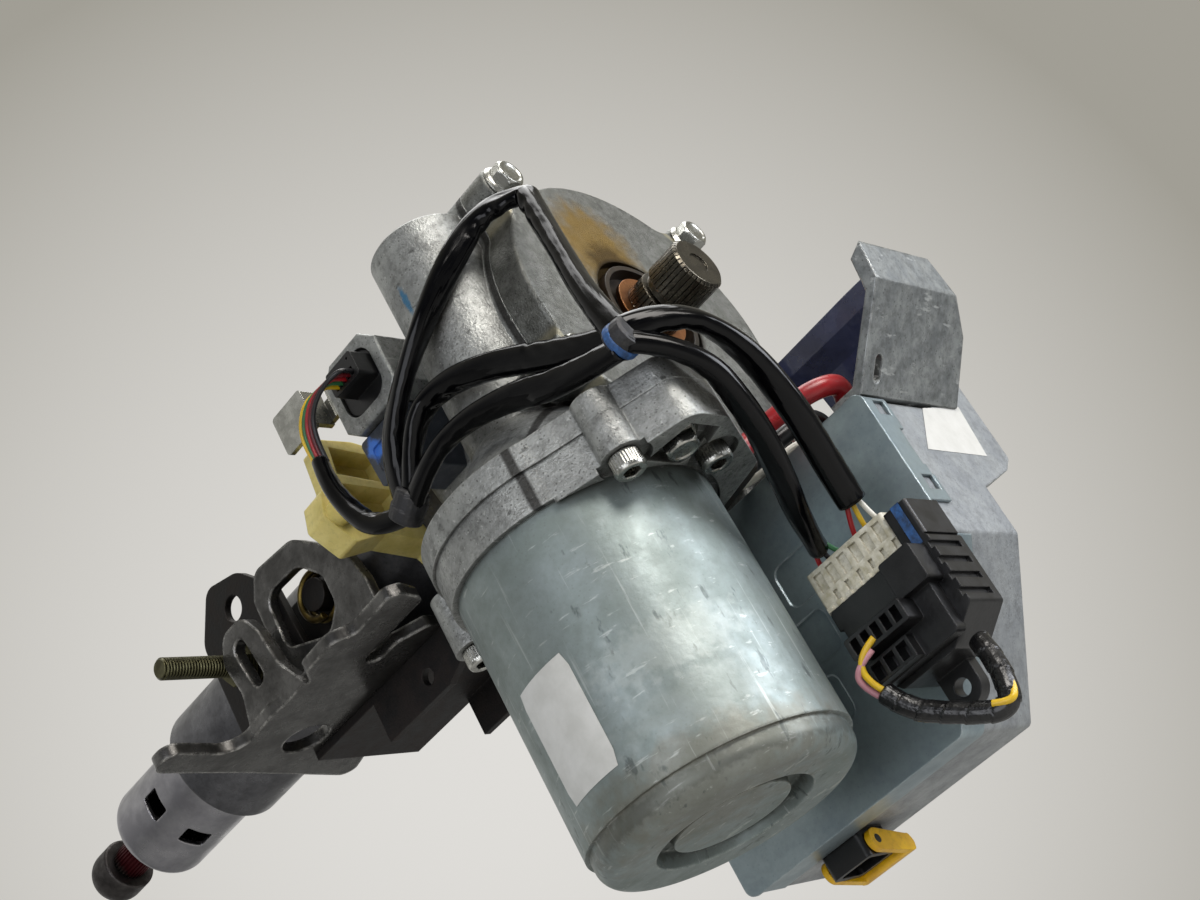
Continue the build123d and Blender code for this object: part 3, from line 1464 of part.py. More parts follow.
# Power connector under the control unit and its yellow locking lever
socket_left = -62.0
socket_right = -45.0
socket_near = unit_front + lip_depth + 1.0
socket_far = socket_near + 16.0
socket_depth = 9.0
bar_y = socket_far + 4.2
with BuildPart() as power_socket:
    with BuildSketch(Plane.XY.offset(unit_bottom)):
        with Locations(((socket_left + socket_right) / 2, (socket_near + socket_far) / 2)):
            RectangleRounded(socket_right - socket_left, socket_far - socket_near, 2.0)
    extrude(amount=-socket_depth)
    with BuildSketch(Plane.XY.offset(unit_bottom - socket_depth)):
        with Locations(((socket_left + socket_right) / 2, (socket_near + socket_far) / 2)):
            RectangleRounded(socket_right - socket_left - 4, socket_far - socket_near - 4, 1.5)
    extrude(amount=socket_depth - 2, mode=Mode.SUBTRACT)
    with BuildSketch(Plane.YZ.offset(socket_left - 2.5)):
        with Locations((socket_near + 5, unit_bottom - 5)):
            Circle(1.5)
    extrude(amount=socket_right - socket_left + 5)
    with BuildSketch(Plane.XY.offset(unit_bottom - socket_depth)):
        with Locations(((socket_left + socket_right) / 2, (socket_near + socket_far) / 2)):
            RectangleRounded(socket_right - socket_left - 4, socket_far - socket_near - 4, 1.5)
    extrude(amount=socket_depth - 2, mode=Mode.SUBTRACT)
keep(power_socket, "power_socket")
arm_y = socket_near + 5
arm_z = unit_bottom - 5
with BuildPart() as power_lever:
    for x in (socket_left - gap, socket_right + gap + 2.2):
        with BuildSketch(disc_plane(x)):
            with BuildSketch(mode=Mode.PRIVATE) as arm_shape:
                with Locations((arm_y, arm_z)):
                    Circle(3.8)
                with Locations((bar_y, arm_z - 3)):
                    Circle(3.0)
                make_hull()
            add(arm_shape.sketch)
            with Locations((arm_y, arm_z)):
                Circle(1.5 + running, mode=Mode.SUBTRACT)
        extrude(amount=-2.2)
    with BuildSketch(disc_plane(socket_left - gap - 2.2)):
        with Locations((bar_y, arm_z - 3)):
            RectangleRounded(5, 6, 1.5)
    extrude(amount=socket_right - socket_left + 2 * gap + 4.4)
keep(power_lever, "power_lever")


def route_radii(points):
    """Largest arc for each corner of a route: 0.45 of its shorter run over the tangent of half the turn."""
    spots = [Vector(*point) for point in points]
    radii = []
    for before, here, after in zip(spots, spots[1:], spots[2:]):
        turn = radians((here - before).get_angle(after - here))
        radii.append(0.45 * min((here - before).length, (after - here).length) / tan(turn / 2))
    return radii


def tube_along(points, radius):
    """Round tube of straight runs and tangent arcs along a route."""
    with BuildPart() as piece:
        with BuildLine() as path:
            FilletPolyline(*points, radius=route_radii(points))
        with BuildSketch(Plane(origin=path.line @ 0, z_dir=path.line % 0)):
            Circle(radius)
        sweep()
    return piece


# Taped bundle of the harness beside the ear, and the taped junction on the sensor side
bundle_r = 6.5
with BuildPart() as harness_ties:
    with BuildSketch(Plane(origin=(24.2, -79, -48), z_dir=(1, 0, 0))):
        Circle(bundle_r)
    extrude(amount=10.6)
    with BuildSketch(Plane(origin=(-60, -79, -32), z_dir=(-0.86, 0, -0.5))):
        Circle(bundle_r)
    extrude(amount=11.0)
keep(harness_ties, "harness_ties")

# Sleeves of the harness, each a tube held along its whole route from tie to tie or to a plug
sleeve_tube_r = 4.0
sensor_sleeve_r = 3.4
sleeve_routes = {
    "loop": [
        (29.5, -79, -46), (27, -76, -28), (19, -63, 4), (9, -49, 35), (-5, -53.5, 37.5),
        (-15.5, -70.5, 17), (-31, -78.5, 3), (-51, -79, -5), (-62, -79.5, -18), (-65, -79, -32),
    ],
    "upper": [
        (27.0, -77, -46), (9, -77, -36), (-11, -77.5, -22), (-34, -78, -12), (-49, -80.5, -16.5),
        (-61.5, -79, -31),
    ],
    "lower": [
        (27.0, -80, -50), (8, -80.5, -46), (-12, -79.5, -35), (-34, -79.5, -28), (-50, -81.5, -31),
        (-63, -79, -35),
    ],
    "far": [
        (32.0, -79, -45), (42, -66, -46), (46, -50, -58), (43, -36, -78), (36, -23, -93),
        (31, -13, -104),
    ],
    "near": [
        (32.0, -79, -51), (42, -66, -60), (37, -49, -80), (28, -36, -94), (19, -24, -102),
        (13, -12, -107),
    ],
}
sensor_route = [(-67, -79, -36), (-79, -80.5, -33), (-87, -79, -19), (-92, -77, -4), (-93, -75, 5)]
with BuildPart() as harness_sleeves:
    for name, route in sleeve_routes.items():
        add(tube_along(route, sleeve_tube_r).part)
        print(name, "sleeve radii", [round(radius, 1) for radius in route_radii(route)])
    add(tube_along(sensor_route, sensor_sleeve_r).part)
    print("sensor sleeve radii", [round(radius, 1) for radius in route_radii(sensor_route)])
    add(harness_ties.part, mode=Mode.SUBTRACT)
keep(harness_sleeves, "harness_sleeves")

# Taped tail loop of the signal plug
tail_route = [(12.2, -23, -158), (16, -22, -166), (26, -20, -173), (37, -18, -180), (44, -16, -182),
              (46, -13, -175), (42, -10, -166), (38.5, -8, -158.4)]
tail_loop = tube_along(tail_route, sensor_sleeve_r)
keep(tail_loop, "tail_loop")
print("tail loop radii", [round(radius, 1) for radius in route_radii(tail_route)])

# Thin leads: five to the sensor, six into the harness plug, two into the signal plug
lead_r = 0.8
cavity_floor = plug_top_z - 6.0
plug_leads = (((31, -13, -104.2), (0.5, 1.5, 2.5)), ((13, -12, -107.2), (-2.5, -1.5, -0.5)))
with BuildPart() as harness_wires:
    for index in range(5):
        rise = 3.0 * index
        across = 1.5 * (index - 2)
        add(tube_along([
            (-93 + across, -75 + 0.5 * across, 5.2), (-95 + across, -76 - across, 13 + 0.3 * rise),
            (-84, -77 - across, 19 + rise), (-72, -74, 20 + rise), (-70, -69.9, 20 + rise),
        ], lead_r).part)
    for start, columns in plug_leads:
        for column in columns:
            x = plug_centre_x + 5.0 * column
            start_x = start[0] + 1.8 * (column - columns[1])
            add(tube_along([
                (start_x, start[1], start[2]), ((start_x + x) / 2, start[1] + 2, start[2] - 3.5),
                (x, -7.5, plug_top_z - 0.5), (x + 0.1, -7.3, cavity_floor),
            ], lead_r).part)
    for shift in (-1.2, 1.2):
        add(tube_along([
            (19 + shift, -25.9, -146 + shift), (13 + shift, -28, -148 + shift),
            (9.5 + shift, -26, -153), (12 + shift, -23.3, -157.8),
        ], lead_r).part)
    for body in (harness_sleeves, harness_plug, signal_plug, sensor_connector, tail_loop):
        add(body.part, mode=Mode.SUBTRACT)
keep(harness_wires, "harness_wires")

# Lead grommets: one on the side of the motor flange, one on top of the control unit
grommet_way = 74.2
grommet_foot = (can_r + 1.0) * cos(radians(grommet_way)), (can_r + 1.0) * sin(radians(grommet_way))
with BuildPart() as lead_grommets:
    with BuildSketch(Plane(
        origin=(worm_x + grommet_foot[0] + 18, worm_y + grommet_foot[1] - 5.1, -70),
        x_dir=(0, 0, 1), z_dir=(cos(radians(grommet_way)), sin(radians(grommet_way)), 0),
    )):
        RectangleRounded(11, 28, 3)
    extrude(amount=6.0)
    add(motor_flange.part, mode=Mode.SUBTRACT)
    with BuildSketch(Plane.XY.offset(unit_top)):
        with Locations((19, 26)):
            RectangleRounded(24, 14, 3)
    extrude(amount=5.0)
keep(lead_grommets, "lead_grommets")

# Power leads from the motor to the control unit: red, black and a thin pale one
power_routes = {
    "red": (3.4, [(5.5, -14, -68.5), (10, -4, -62.5), (26, -3, -58.5), (36, 9, -57),
                  (33, 21, -57.5), (26, 26, -67)]),
    "black": (3.0, [(-2.5, -12.5, -70), (1, -2, -67.5), (11, 7, -63), (19, 15, -60),
                    (20, 23, -60.5), (18.5, 26, -67)]),
    "pale": (1.8, [(-10, -10.5, -71), (-7, 1, -68.2), (2, 12, -66.0), (8, 20, -62.5),
                   (11, 25, -62.5), (11.5, 26, -67)]),
}
with BuildPart() as power_leads:
    for name, (radius, route) in power_routes.items():
        add(tube_along(route, radius).part)
        print(name, "lead radii", [round(bend, 1) for bend in route_radii(route)])
    add(lead_grommets.part, mode=Mode.SUBTRACT)
keep(power_leads, "power_leads")
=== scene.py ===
from math import atan2, cos, exp, pi, radians, sin, tau

import bmesh
import bpy
from mathutils import Matrix, Vector, noise


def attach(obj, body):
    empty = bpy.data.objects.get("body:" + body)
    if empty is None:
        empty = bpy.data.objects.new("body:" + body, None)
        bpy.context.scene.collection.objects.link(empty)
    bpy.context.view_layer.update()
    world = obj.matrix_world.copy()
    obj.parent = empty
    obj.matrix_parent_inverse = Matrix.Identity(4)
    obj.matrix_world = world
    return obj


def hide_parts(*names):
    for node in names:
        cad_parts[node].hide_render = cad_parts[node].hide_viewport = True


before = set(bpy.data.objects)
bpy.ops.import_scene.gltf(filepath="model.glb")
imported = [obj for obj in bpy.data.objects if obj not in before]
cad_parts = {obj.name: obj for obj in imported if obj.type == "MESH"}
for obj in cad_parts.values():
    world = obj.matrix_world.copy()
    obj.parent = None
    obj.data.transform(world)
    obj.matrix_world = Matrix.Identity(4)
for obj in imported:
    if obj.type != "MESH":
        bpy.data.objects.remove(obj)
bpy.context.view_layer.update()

# Camera: the photograph's place and lens, worked out from the motor can, the column and the bolts.
# It stands below and in front of the unit and looks up at it.
CAMERA_PLACE = Vector((0.2563, -0.4726, -0.3005))
CAMERA_RIGHT = Vector((0.613, 0.652, -0.445)).normalized()
CAMERA_BACK = Vector((0.481, -0.756, -0.444)).normalized()
CAMERA_UP = CAMERA_BACK.cross(CAMERA_RIGHT).normalized()
CAMERA_RIGHT = CAMERA_UP.cross(CAMERA_BACK).normalized()
camera_data = bpy.data.cameras.new("photo_camera")
camera_data.lens = 55.5
camera_data.sensor_width = 36.0
camera_data.clip_start = 0.01
camera = bpy.data.objects.new("photo_camera", camera_data)
turned = Matrix((CAMERA_RIGHT, CAMERA_UP, CAMERA_BACK)).transposed()
camera.matrix_world = Matrix.Translation(CAMERA_PLACE) @ turned.to_4x4()
bpy.context.collection.objects.link(camera)
bpy.context.scene.camera = camera
bpy.context.scene.view_settings.view_transform = "Standard"

# Studio: a pale wall with a painted pool of light, brightest below the middle of the view and painted darker
# towards the upper corners.
# Gloss shows a plainer room, dark behind the camera, and the unit itself is lit by a soft grey.


def add_node(tree, kind, settings=None, **sockets):
    """Adds one node, sets its properties, and fills its sockets with values or links."""
    made = tree.nodes.new(kind)
    for name, value in (settings or {}).items():
        setattr(made, name, value)
    for name, value in sockets.items():
        key = int(name[1:]) if name[1:].isdigit() else name.replace("_", " ")
        if isinstance(value, bpy.types.NodeSocket):
            tree.links.new(value, made.inputs[key])
        else:
            made.inputs[key].default_value = value
    return made


def paint(code):
    """Linear colour of an sRGB hex code."""
    parts = [int(code[k:k + 2], 16) / 255 for k in (1, 3, 5)]
    return [c / 12.92 if c <= 0.04045 else ((c + 0.055) / 1.055) ** 2.4 for c in parts] + [1.0]


WALL_PAINTED_LIGHT = "#dfddd9"
WALL_PAINTED_SHADE = "#a19e95"
GLOSS_LIGHT = "#d8d7d3"
GLOSS_DARK = "#98958a"
GLOSS_SLOPE = CAMERA_RIGHT * 0.35 + CAMERA_UP * 0.80
GLOSS_START, GLOSS_END = -0.28, 0.27
PAINTED_LIGHT_CENTRE = CAMERA_RIGHT * -0.043 + CAMERA_UP * -0.153
PAINTED_LIGHT_REACH = 0.198
ROOM_LIGHT = 0.42
world = bpy.data.worlds.new("studio")
bpy.context.scene.world = world
world.use_nodes = True
sky = world.node_tree
sky.nodes.clear()
ray = add_node(sky, "ShaderNodeTexCoord")
along = add_node(sky, "ShaderNodeVectorMath", {"operation": "DOT_PRODUCT"},
                 i0=ray.outputs["Generated"], i1=tuple(GLOSS_SLOPE))
fall = add_node(sky, "ShaderNodeMapRange", Value=along.outputs["Value"], From_Min=GLOSS_START,
                From_Max=GLOSS_END)
wall = add_node(sky, "ShaderNodeMix", {"data_type": "RGBA"}, i0=fall.outputs[0],
                i6=paint(GLOSS_LIGHT), i7=paint(GLOSS_DARK))
seen = add_node(sky, "ShaderNodeLightPath")
toward = add_node(sky, "ShaderNodeVectorMath", {"operation": "DOT_PRODUCT"},
                  i0=ray.outputs["Generated"], i1=tuple(CAMERA_BACK))
behind = add_node(sky, "ShaderNodeMapRange", Value=toward.outputs["Value"], From_Min=-0.15, From_Max=0.55)
dim = add_node(sky, "ShaderNodeMath", {"operation": "MULTIPLY"}, i0=behind.outputs[0],
               i1=seen.outputs["Is Glossy Ray"])
wall = add_node(sky, "ShaderNodeMix", {"data_type": "RGBA"}, i0=dim.outputs[0], i6=wall.outputs[2],
                i7=paint("#55585c"))
glossy = add_node(sky, "ShaderNodeMath", {"operation": "MAXIMUM"},
                  i0=seen.outputs["Is Camera Ray"], i1=seen.outputs["Is Glossy Ray"])
clear = add_node(sky, "ShaderNodeMath", {"operation": "MAXIMUM"},
                 i0=glossy.outputs[0], i1=seen.outputs["Is Transmission Ray"])
room = add_node(sky, "ShaderNodeBackground", Color=paint("#e9ecef"), Strength=ROOM_LIGHT)
# Painted light on the wall: camera rays see a pool of light centred just below the middle of the view, fading
# to painted shade at the corners.
aside = add_node(sky, "ShaderNodeVectorMath", {"operation": "SUBTRACT"}, i0=ray.outputs["Generated"],
                 i1=tuple(PAINTED_LIGHT_CENTRE - CAMERA_BACK))
away = add_node(sky, "ShaderNodeVectorMath", {"operation": "DOT_PRODUCT"},
                i0=aside.outputs[0], i1=aside.outputs[0])
painted_falloff = add_node(sky, "ShaderNodeMapRange", Value=away.outputs["Value"], From_Min=0.0, From_Max=PAINTED_LIGHT_REACH)
backdrop = add_node(sky, "ShaderNodeMix", {"data_type": "RGBA"}, i0=painted_falloff.outputs[0],
                    i6=paint(WALL_PAINTED_LIGHT), i7=paint(WALL_PAINTED_SHADE))
wall = add_node(sky, "ShaderNodeMix", {"data_type": "RGBA"}, i0=seen.outputs["Is Camera Ray"],
                i6=wall.outputs[2], i7=backdrop.outputs[2])
shown = add_node(sky, "ShaderNodeBackground", Color=wall.outputs[2], Strength=1.0)
both = add_node(sky, "ShaderNodeMixShader", Fac=clear.outputs[0], i1=room.outputs[0], i2=shown.outputs[0])
add_node(sky, "ShaderNodeOutputWorld", Surface=both.outputs[0])

MIDDLE = Vector((-0.06, -0.03, -0.06))


def lamp(name, place, size, power, tint):
    """Soft square lamp that faces the middle of the unit."""
    data = bpy.data.lights.new(name, "AREA")
    data.size = size
    data.energy = power
    data.color = paint(tint)[:3]
    made = bpy.data.objects.new(name, data)
    made.location = MIDDLE + place
    made.rotation_euler = (-place).to_track_quat("-Z", "Y").to_euler()
    bpy.context.collection.objects.link(made)


lamp("key_lamp", CAMERA_UP * 0.90 + CAMERA_RIGHT * 0.15 + CAMERA_BACK * 0.33, 0.45, 8.0, "#fffaf4")
lamp("side_lamp", CAMERA_RIGHT * 0.76 + CAMERA_UP * 0.64 + CAMERA_BACK * 0.10, 0.45, 7.4, "#f4f7ff")
lamp("front_lamp", CAMERA_BACK * 0.95 - CAMERA_RIGHT * 0.50 + CAMERA_UP * 0.22, 0.7, 5.0, "#f6f8ff")
lamp("top_lamp", Vector((0.1, 0.25, 0.95)), 0.7, 6.0, "#ffffff")

# Floor: one plain pale sheet below the unit, under the camera's own height, so that the photograph's
# view shows only the wall and every other view stands over it.
FLOOR_LEVEL = -0.62
floor_mesh = bpy.data.meshes.new("studio_floor")
FLOOR_REACH = 4.0
floor_corners = ((-1, -1), (1, -1), (1, 1), (-1, 1))
floor_mesh.from_pydata([(FLOOR_REACH * x, FLOOR_REACH * y, FLOOR_LEVEL) for x, y in floor_corners],
                       [], [(0, 1, 2, 3)])
studio_floor = bpy.data.objects.new("studio_floor", floor_mesh)
bpy.context.collection.objects.link(studio_floor)
floor_paint = bpy.data.materials.new("matt_floor_paint")
floor_paint.use_nodes = True
floor_shader = floor_paint.node_tree.nodes["Principled BSDF"]
floor_shader.inputs["Base Color"].default_value = paint("#c9c7c2")
floor_shader.inputs["Roughness"].default_value = 0.9
floor_mesh.materials.append(floor_paint)

# Gearbox housing, motor flange and sensor housing: sand-textured aluminium pressure castings.
# They are pale grey with a fine grain and rubbed brighter on their edges, and painted shade turns them
# grey-brown in corners.


def dress(material, *nodes):
    """Gives CAD nodes their finish."""
    for node in nodes:
        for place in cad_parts[node].material_slots:
            place.material = material


# Grain and pores of real metal skins are 0.1 to 0.3 mm, too fine to show in the render, so grain_mm
# draws the grain at about four times that, and the pores lie in cells of 1.7 mm.
PORE_CELL_MM = 1.7
BLOTCH_MM = 3.2


def metal_skin(name, base, patch, rubbed, pore_and_shade_colour, rough, grain_mm, grain_lift, patch_mm,
               metallic=1.0, edge_mm=0.9, wear=0.75, shade_in_corners=0.75, pores=0.0):
    """Bare or plated metal: fine grain, broad patches, dark pores, edges rubbed bright, and painted shade in
    its corners.
    Returns the material, its nodes, its shader, and the colour and place that marks are added to."""
    made = bpy.data.materials.new(name)
    made.use_nodes = True
    tree = made.node_tree
    shader = tree.nodes["Principled BSDF"]
    shader.inputs["Metallic"].default_value = metallic
    place = add_node(tree, "ShaderNodeTexCoord").outputs["Object"]
    grain = add_node(tree, "ShaderNodeTexNoise", Vector=place, Scale=1000 / grain_mm, Detail=3.0,
                     Roughness=0.6)
    cloud = add_node(tree, "ShaderNodeTexNoise", Vector=place, Scale=1000 / patch_mm, Detail=5.0,
                     Roughness=0.62)
    cloudy = add_node(tree, "ShaderNodeMapRange", Value=cloud.outputs[0], From_Min=0.38, From_Max=0.62)
    body = add_node(tree, "ShaderNodeMix", {"data_type": "RGBA"}, i0=cloudy.outputs[0],
                    i6=paint(base), i7=paint(patch))
    rounded = add_node(tree, "ShaderNodeBevel", {"samples": 4}, Radius=edge_mm / 1000)
    flat = add_node(tree, "ShaderNodeNewGeometry")
    turn = add_node(tree, "ShaderNodeVectorMath", {"operation": "DOT_PRODUCT"},
                    i0=rounded.outputs[0], i1=flat.outputs["Normal"])
    scuff = add_node(tree, "ShaderNodeTexNoise", Vector=place, Scale=190.0, Detail=5.0, Roughness=0.75)
    patchy = add_node(tree, "ShaderNodeMapRange", Value=scuff.outputs[0], From_Min=0.42, From_Max=0.62)
    edge = add_node(tree, "ShaderNodeMapRange", Value=turn.outputs["Value"], From_Min=0.99, From_Max=0.80,
                    To_Max=wear)
    worn = add_node(tree, "ShaderNodeMath", {"operation": "MULTIPLY", "use_clamp": True},
                    i0=edge.outputs[0], i1=patchy.outputs[0])
    cells = add_node(tree, "ShaderNodeTexVoronoi", Vector=place, Scale=1000 / PORE_CELL_MM)
    pit = add_node(tree, "ShaderNodeMapRange", Value=cells.outputs["Distance"], From_Min=0.22, From_Max=0.12)
    blotch = add_node(tree, "ShaderNodeTexNoise", Vector=place, Scale=1000 / BLOTCH_MM, Detail=6.0,
                      Roughness=0.75)
    blotched = add_node(tree, "ShaderNodeMapRange", Value=blotch.outputs[0], From_Min=0.45, From_Max=0.72)
    darker = add_node(tree, "ShaderNodeMath", {"operation": "MAXIMUM"}, i0=pit.outputs[0],
                      i1=blotched.outputs[0])
    rough_cast = add_node(tree, "ShaderNodeMath", {"operation": "MULTIPLY"}, i0=darker.outputs[0], i1=pores)
    porous = add_node(tree, "ShaderNodeMix", {"data_type": "RGBA"}, i0=rough_cast.outputs[0],
                      i6=body.outputs[2], i7=paint(pore_and_shade_colour))
    bright = add_node(tree, "ShaderNodeMix", {"data_type": "RGBA"}, i0=worn.outputs[0],
                      i6=porous.outputs[2], i7=paint(rubbed))
    # Painted shade: ambient occlusion darkens the skin in corners, hollows and gaps between parts, towards
    # its dark pore colour.
    corner = add_node(tree, "ShaderNodeAmbientOcclusion", {"samples": 5}, Distance=0.007)
    corner_shade_amount = add_node(tree, "ShaderNodeMapRange", Value=corner.outputs["AO"], From_Min=0.82, From_Max=0.35,
                    To_Max=shade_in_corners)
    corner_shaded = add_node(tree, "ShaderNodeMix", {"data_type": "RGBA"}, i0=corner_shade_amount.outputs[0],
                     i6=bright.outputs[2], i7=paint(pore_and_shade_colour))
    gloss = add_node(tree, "ShaderNodeMapRange", Value=cloud.outputs[0], From_Min=0.3, From_Max=0.7,
                     To_Min=rough - 0.07, To_Max=rough + 0.09)
    relief = add_node(tree, "ShaderNodeBump", Height=grain.outputs[0], Distance=grain_lift / 1000,
                      Normal=rounded.outputs[0])
    tree.links.new(corner_shaded.outputs[2], shader.inputs["Base Color"])
    tree.links.new(gloss.outputs[0], shader.inputs["Roughness"])
    tree.links.new(relief.outputs[0], shader.inputs["Normal"])
    return made, tree, shader, corner_shaded.outputs[2], place


def stain(tree, colour, place, middle, radius, code, strength, stretch, ragged, size_mm):
    """Soft-edged mark round a point on a skin: oil, soot or a dab of marking paint."""
    shifted = add_node(tree, "ShaderNodeVectorMath", {"operation": "SUBTRACT"}, i0=place, i1=middle)
    scaled = add_node(tree, "ShaderNodeVectorMath", {"operation": "MULTIPLY"}, i0=shifted.outputs[0],
                      i1=stretch)
    reach = add_node(tree, "ShaderNodeVectorMath", {"operation": "LENGTH"}, i0=scaled.outputs[0])
    cloud = add_node(tree, "ShaderNodeTexNoise", Vector=place, Scale=1000 / size_mm, Detail=4.0)
    torn = add_node(tree, "ShaderNodeMath", {"operation": "MULTIPLY_ADD"}, i0=cloud.outputs[0],
                    i1=-2 * ragged * radius, i2=ragged * radius)
    uneven = add_node(tree, "ShaderNodeMath", {"operation": "ADD"}, i0=reach.outputs["Value"],
                      i1=torn.outputs[0])
    amount = add_node(tree, "ShaderNodeMapRange", Value=uneven.outputs[0], From_Min=radius,
                      From_Max=radius * 0.55, To_Max=strength)
    return add_node(tree, "ShaderNodeMix", {"data_type": "RGBA"}, i0=amount.outputs[0], i6=colour,
                    i7=paint(code)).outputs[2]


def mask(tree, value, low, high, soft):
    """1 where a value lies between two levels, fading over a short way at each."""
    rise = add_node(tree, "ShaderNodeMapRange", Value=value, From_Min=low - soft, From_Max=low + soft)
    drop = add_node(tree, "ShaderNodeMapRange", Value=value, From_Min=high + soft, From_Max=high - soft)
    return add_node(tree, "ShaderNodeMath", {"operation": "MULTIPLY"}, i0=rise.outputs[0],
                    i1=drop.outputs[0]).outputs[0]


def tinted(tree, colour, amount, code, strength):
    """Lays a colour over a skin by a mask."""
    share = add_node(tree, "ShaderNodeMath", {"operation": "MULTIPLY"}, i0=amount, i1=strength)
    return add_node(tree, "ShaderNodeMix", {"data_type": "RGBA"}, i0=share.outputs[0], i6=colour,
                    i7=paint(code)).outputs[2]


def scratches(tree, colour, place, run, code, strength):
    """Fine scratches or scuffs, drawn out along the axis with the smallest figure in run."""
    drawn = add_node(tree, "ShaderNodeVectorMath", {"operation": "MULTIPLY"}, i0=place, i1=run)
    lines = add_node(tree, "ShaderNodeTexNoise", Vector=drawn.outputs[0], Scale=1.0, Detail=4.0,
                     Roughness=0.6)
    return tinted(tree, colour, mask(tree, lines.outputs[0], 0.66, 1.2, 0.03), code, strength)


cast_aluminium, tree, shader, colour, place = metal_skin(
    "pressure_cast_aluminium", "#9d9f9c", "#848684", "#cfd1cd", "#2b2824", 0.45, 0.9, 0.26, 12.0,
    metallic=0.7, pores=0.6)
BLUE_DAB = (-0.0355, -0.070, 0.026)
colour = stain(tree, colour, place, BLUE_DAB, 0.0056, "#2f6f94", 0.85, (3.4, 3.4, 0.8), 0.5, 2.0)
along_x = add_node(tree, "ShaderNodeSeparateXYZ", Vector=place).outputs["X"]
colour = tinted(tree, colour, mask(tree, along_x, -0.0150, -0.0122, 0.0004), "#16120e", 0.85)
colour = scratches(tree, colour, place, (700, 90, 700), "#d5d6d2", 0.35)
colour = scratches(tree, colour, place, (170, 240, 330), "#2d2c2a", 0.55)
tree.links.new(colour, shader.inputs["Base Color"])
dress(cast_aluminium, "gear_housing", "motor_flange", "sensor_housing")

# Gearbox cover: the same metal, left as cast on its face, so it is darker and coarser.
# Old oil has run from the seal up over the face and dried amber.


def from_column(tree, place):
    """Distance from the column's axis."""
    across = add_node(tree, "ShaderNodeVectorMath", {"operation": "MULTIPLY"}, i0=place, i1=(0, 1, 1))
    reach = add_node(tree, "ShaderNodeVectorMath", {"operation": "LENGTH"}, i0=across.outputs[0])
    return reach.outputs["Value"]


grainy_cover, tree, shader, colour, place = metal_skin(
    "as_cast_aluminium_face", "#868783", "#6e6f6a", "#b9bab5", "#1d1b19", 0.46, 0.7, 0.26, 9.0, pores=0.6)
out = from_column(tree, place)
colour = tinted(tree, colour, mask(tree, out, 0.0578, 0.0600, 0.0004), "#aaa48c", 0.6)
AMBER_OIL = (0.0, -0.009, 0.027)
DARK_OIL = (0.0, -0.006, 0.021)
colour = stain(tree, colour, place, AMBER_OIL, 0.019, "#80662a", 0.8, (1, 0.85, 0.75), 0.45, 7.0)
colour = stain(tree, colour, place, DARK_OIL, 0.011, "#34240d", 0.7, (1, 0.8, 1.0), 0.4, 5.0)
colour = tinted(tree, colour, mask(tree, out, 0.018, 0.0235, 0.0008), "#1a130b", 0.75)
tree.links.new(colour, shader.inputs["Base Color"])
dress(grainy_cover, "gear_cover")

# Output shaft: hobbed steel, browned by oil and a little rust, with painted shade darkening it between its
# splines.
# The tips of the splines are rubbed bright.
oiled_steel = metal_skin(
    "oiled_machined_steel", "#6b665c", "#48443c", "#bdb6a6", "#0f0d0a", 0.27, 0.6, 0.05, 5.0,
    edge_mm=0.2, wear=1.2)[0]
dress(oiled_steel, "output_shaft")

# Dust ring at the shaft's root: a thin pressed ring of copper-plated steel.
# It is polished by handling, so it is warm and fairly sharp in its gloss.
copper_ring = metal_skin(
    "copper_plated_ring", "#c98a58", "#a06840", "#e6b88e", "#38200f", 0.3, 0.8, 0.04, 4.0, edge_mm=0.3)[0]
dress(copper_ring, "dust_ring")

# Output seal: a pressed-in ring of black nitrile rubber round the shaft.
# The oil on it makes it half glossy and a little brown.


def plain_skin(name, base, patch, rough, grain_mm, grain_lift, patch_mm=14.0, coat=0.0, dust=None,
               edge_mm=0.5):
    """Moulded or painted skin: two near shades, fine relief, rounded edges and a little dust."""
    made = bpy.data.materials.new(name)
    made.use_nodes = True
    tree = made.node_tree
    shader = tree.nodes["Principled BSDF"]
    shader.inputs["Coat Weight"].default_value = coat
    place = add_node(tree, "ShaderNodeTexCoord").outputs["Object"]
    cloud = add_node(tree, "ShaderNodeTexNoise", Vector=place, Scale=1000 / patch_mm, Detail=5.0,
                     Roughness=0.6)
    shade = add_node(tree, "ShaderNodeMapRange", Value=cloud.outputs[0], From_Min=0.35, From_Max=0.65)
    body = add_node(tree, "ShaderNodeMix", {"data_type": "RGBA"}, i0=shade.outputs[0],
                    i6=paint(base), i7=paint(patch))
    colour = body.outputs[2]
    if dust:
        speck = add_node(tree, "ShaderNodeTexNoise", Vector=place, Scale=420.0, Detail=6.0, Roughness=0.75)
        lying = add_node(tree, "ShaderNodeMapRange", Value=speck.outputs[0], From_Min=0.52, From_Max=0.78,
                         To_Max=0.55)
        colour = add_node(tree, "ShaderNodeMix", {"data_type": "RGBA"}, i0=lying.outputs[0], i6=colour,
                          i7=paint(dust)).outputs[2]
    gloss = add_node(tree, "ShaderNodeMapRange", Value=cloud.outputs[0], From_Min=0.3, From_Max=0.7,
                     To_Min=rough - 0.06, To_Max=rough + 0.1)
    grain = add_node(tree, "ShaderNodeTexNoise", Vector=place, Scale=1000 / grain_mm, Detail=2.0)
    rounded = add_node(tree, "ShaderNodeBevel", {"samples": 4}, Radius=edge_mm / 1000)
    relief = add_node(tree, "ShaderNodeBump", Height=grain.outputs[0], Distance=grain_lift / 1000,
                      Normal=rounded.outputs[0])
    tree.links.new(colour, shader.inputs["Base Color"])
    tree.links.new(gloss.outputs[0], shader.inputs["Roughness"])
    tree.links.new(relief.outputs[0], shader.inputs["Normal"])
    return made, tree, shader, colour, place


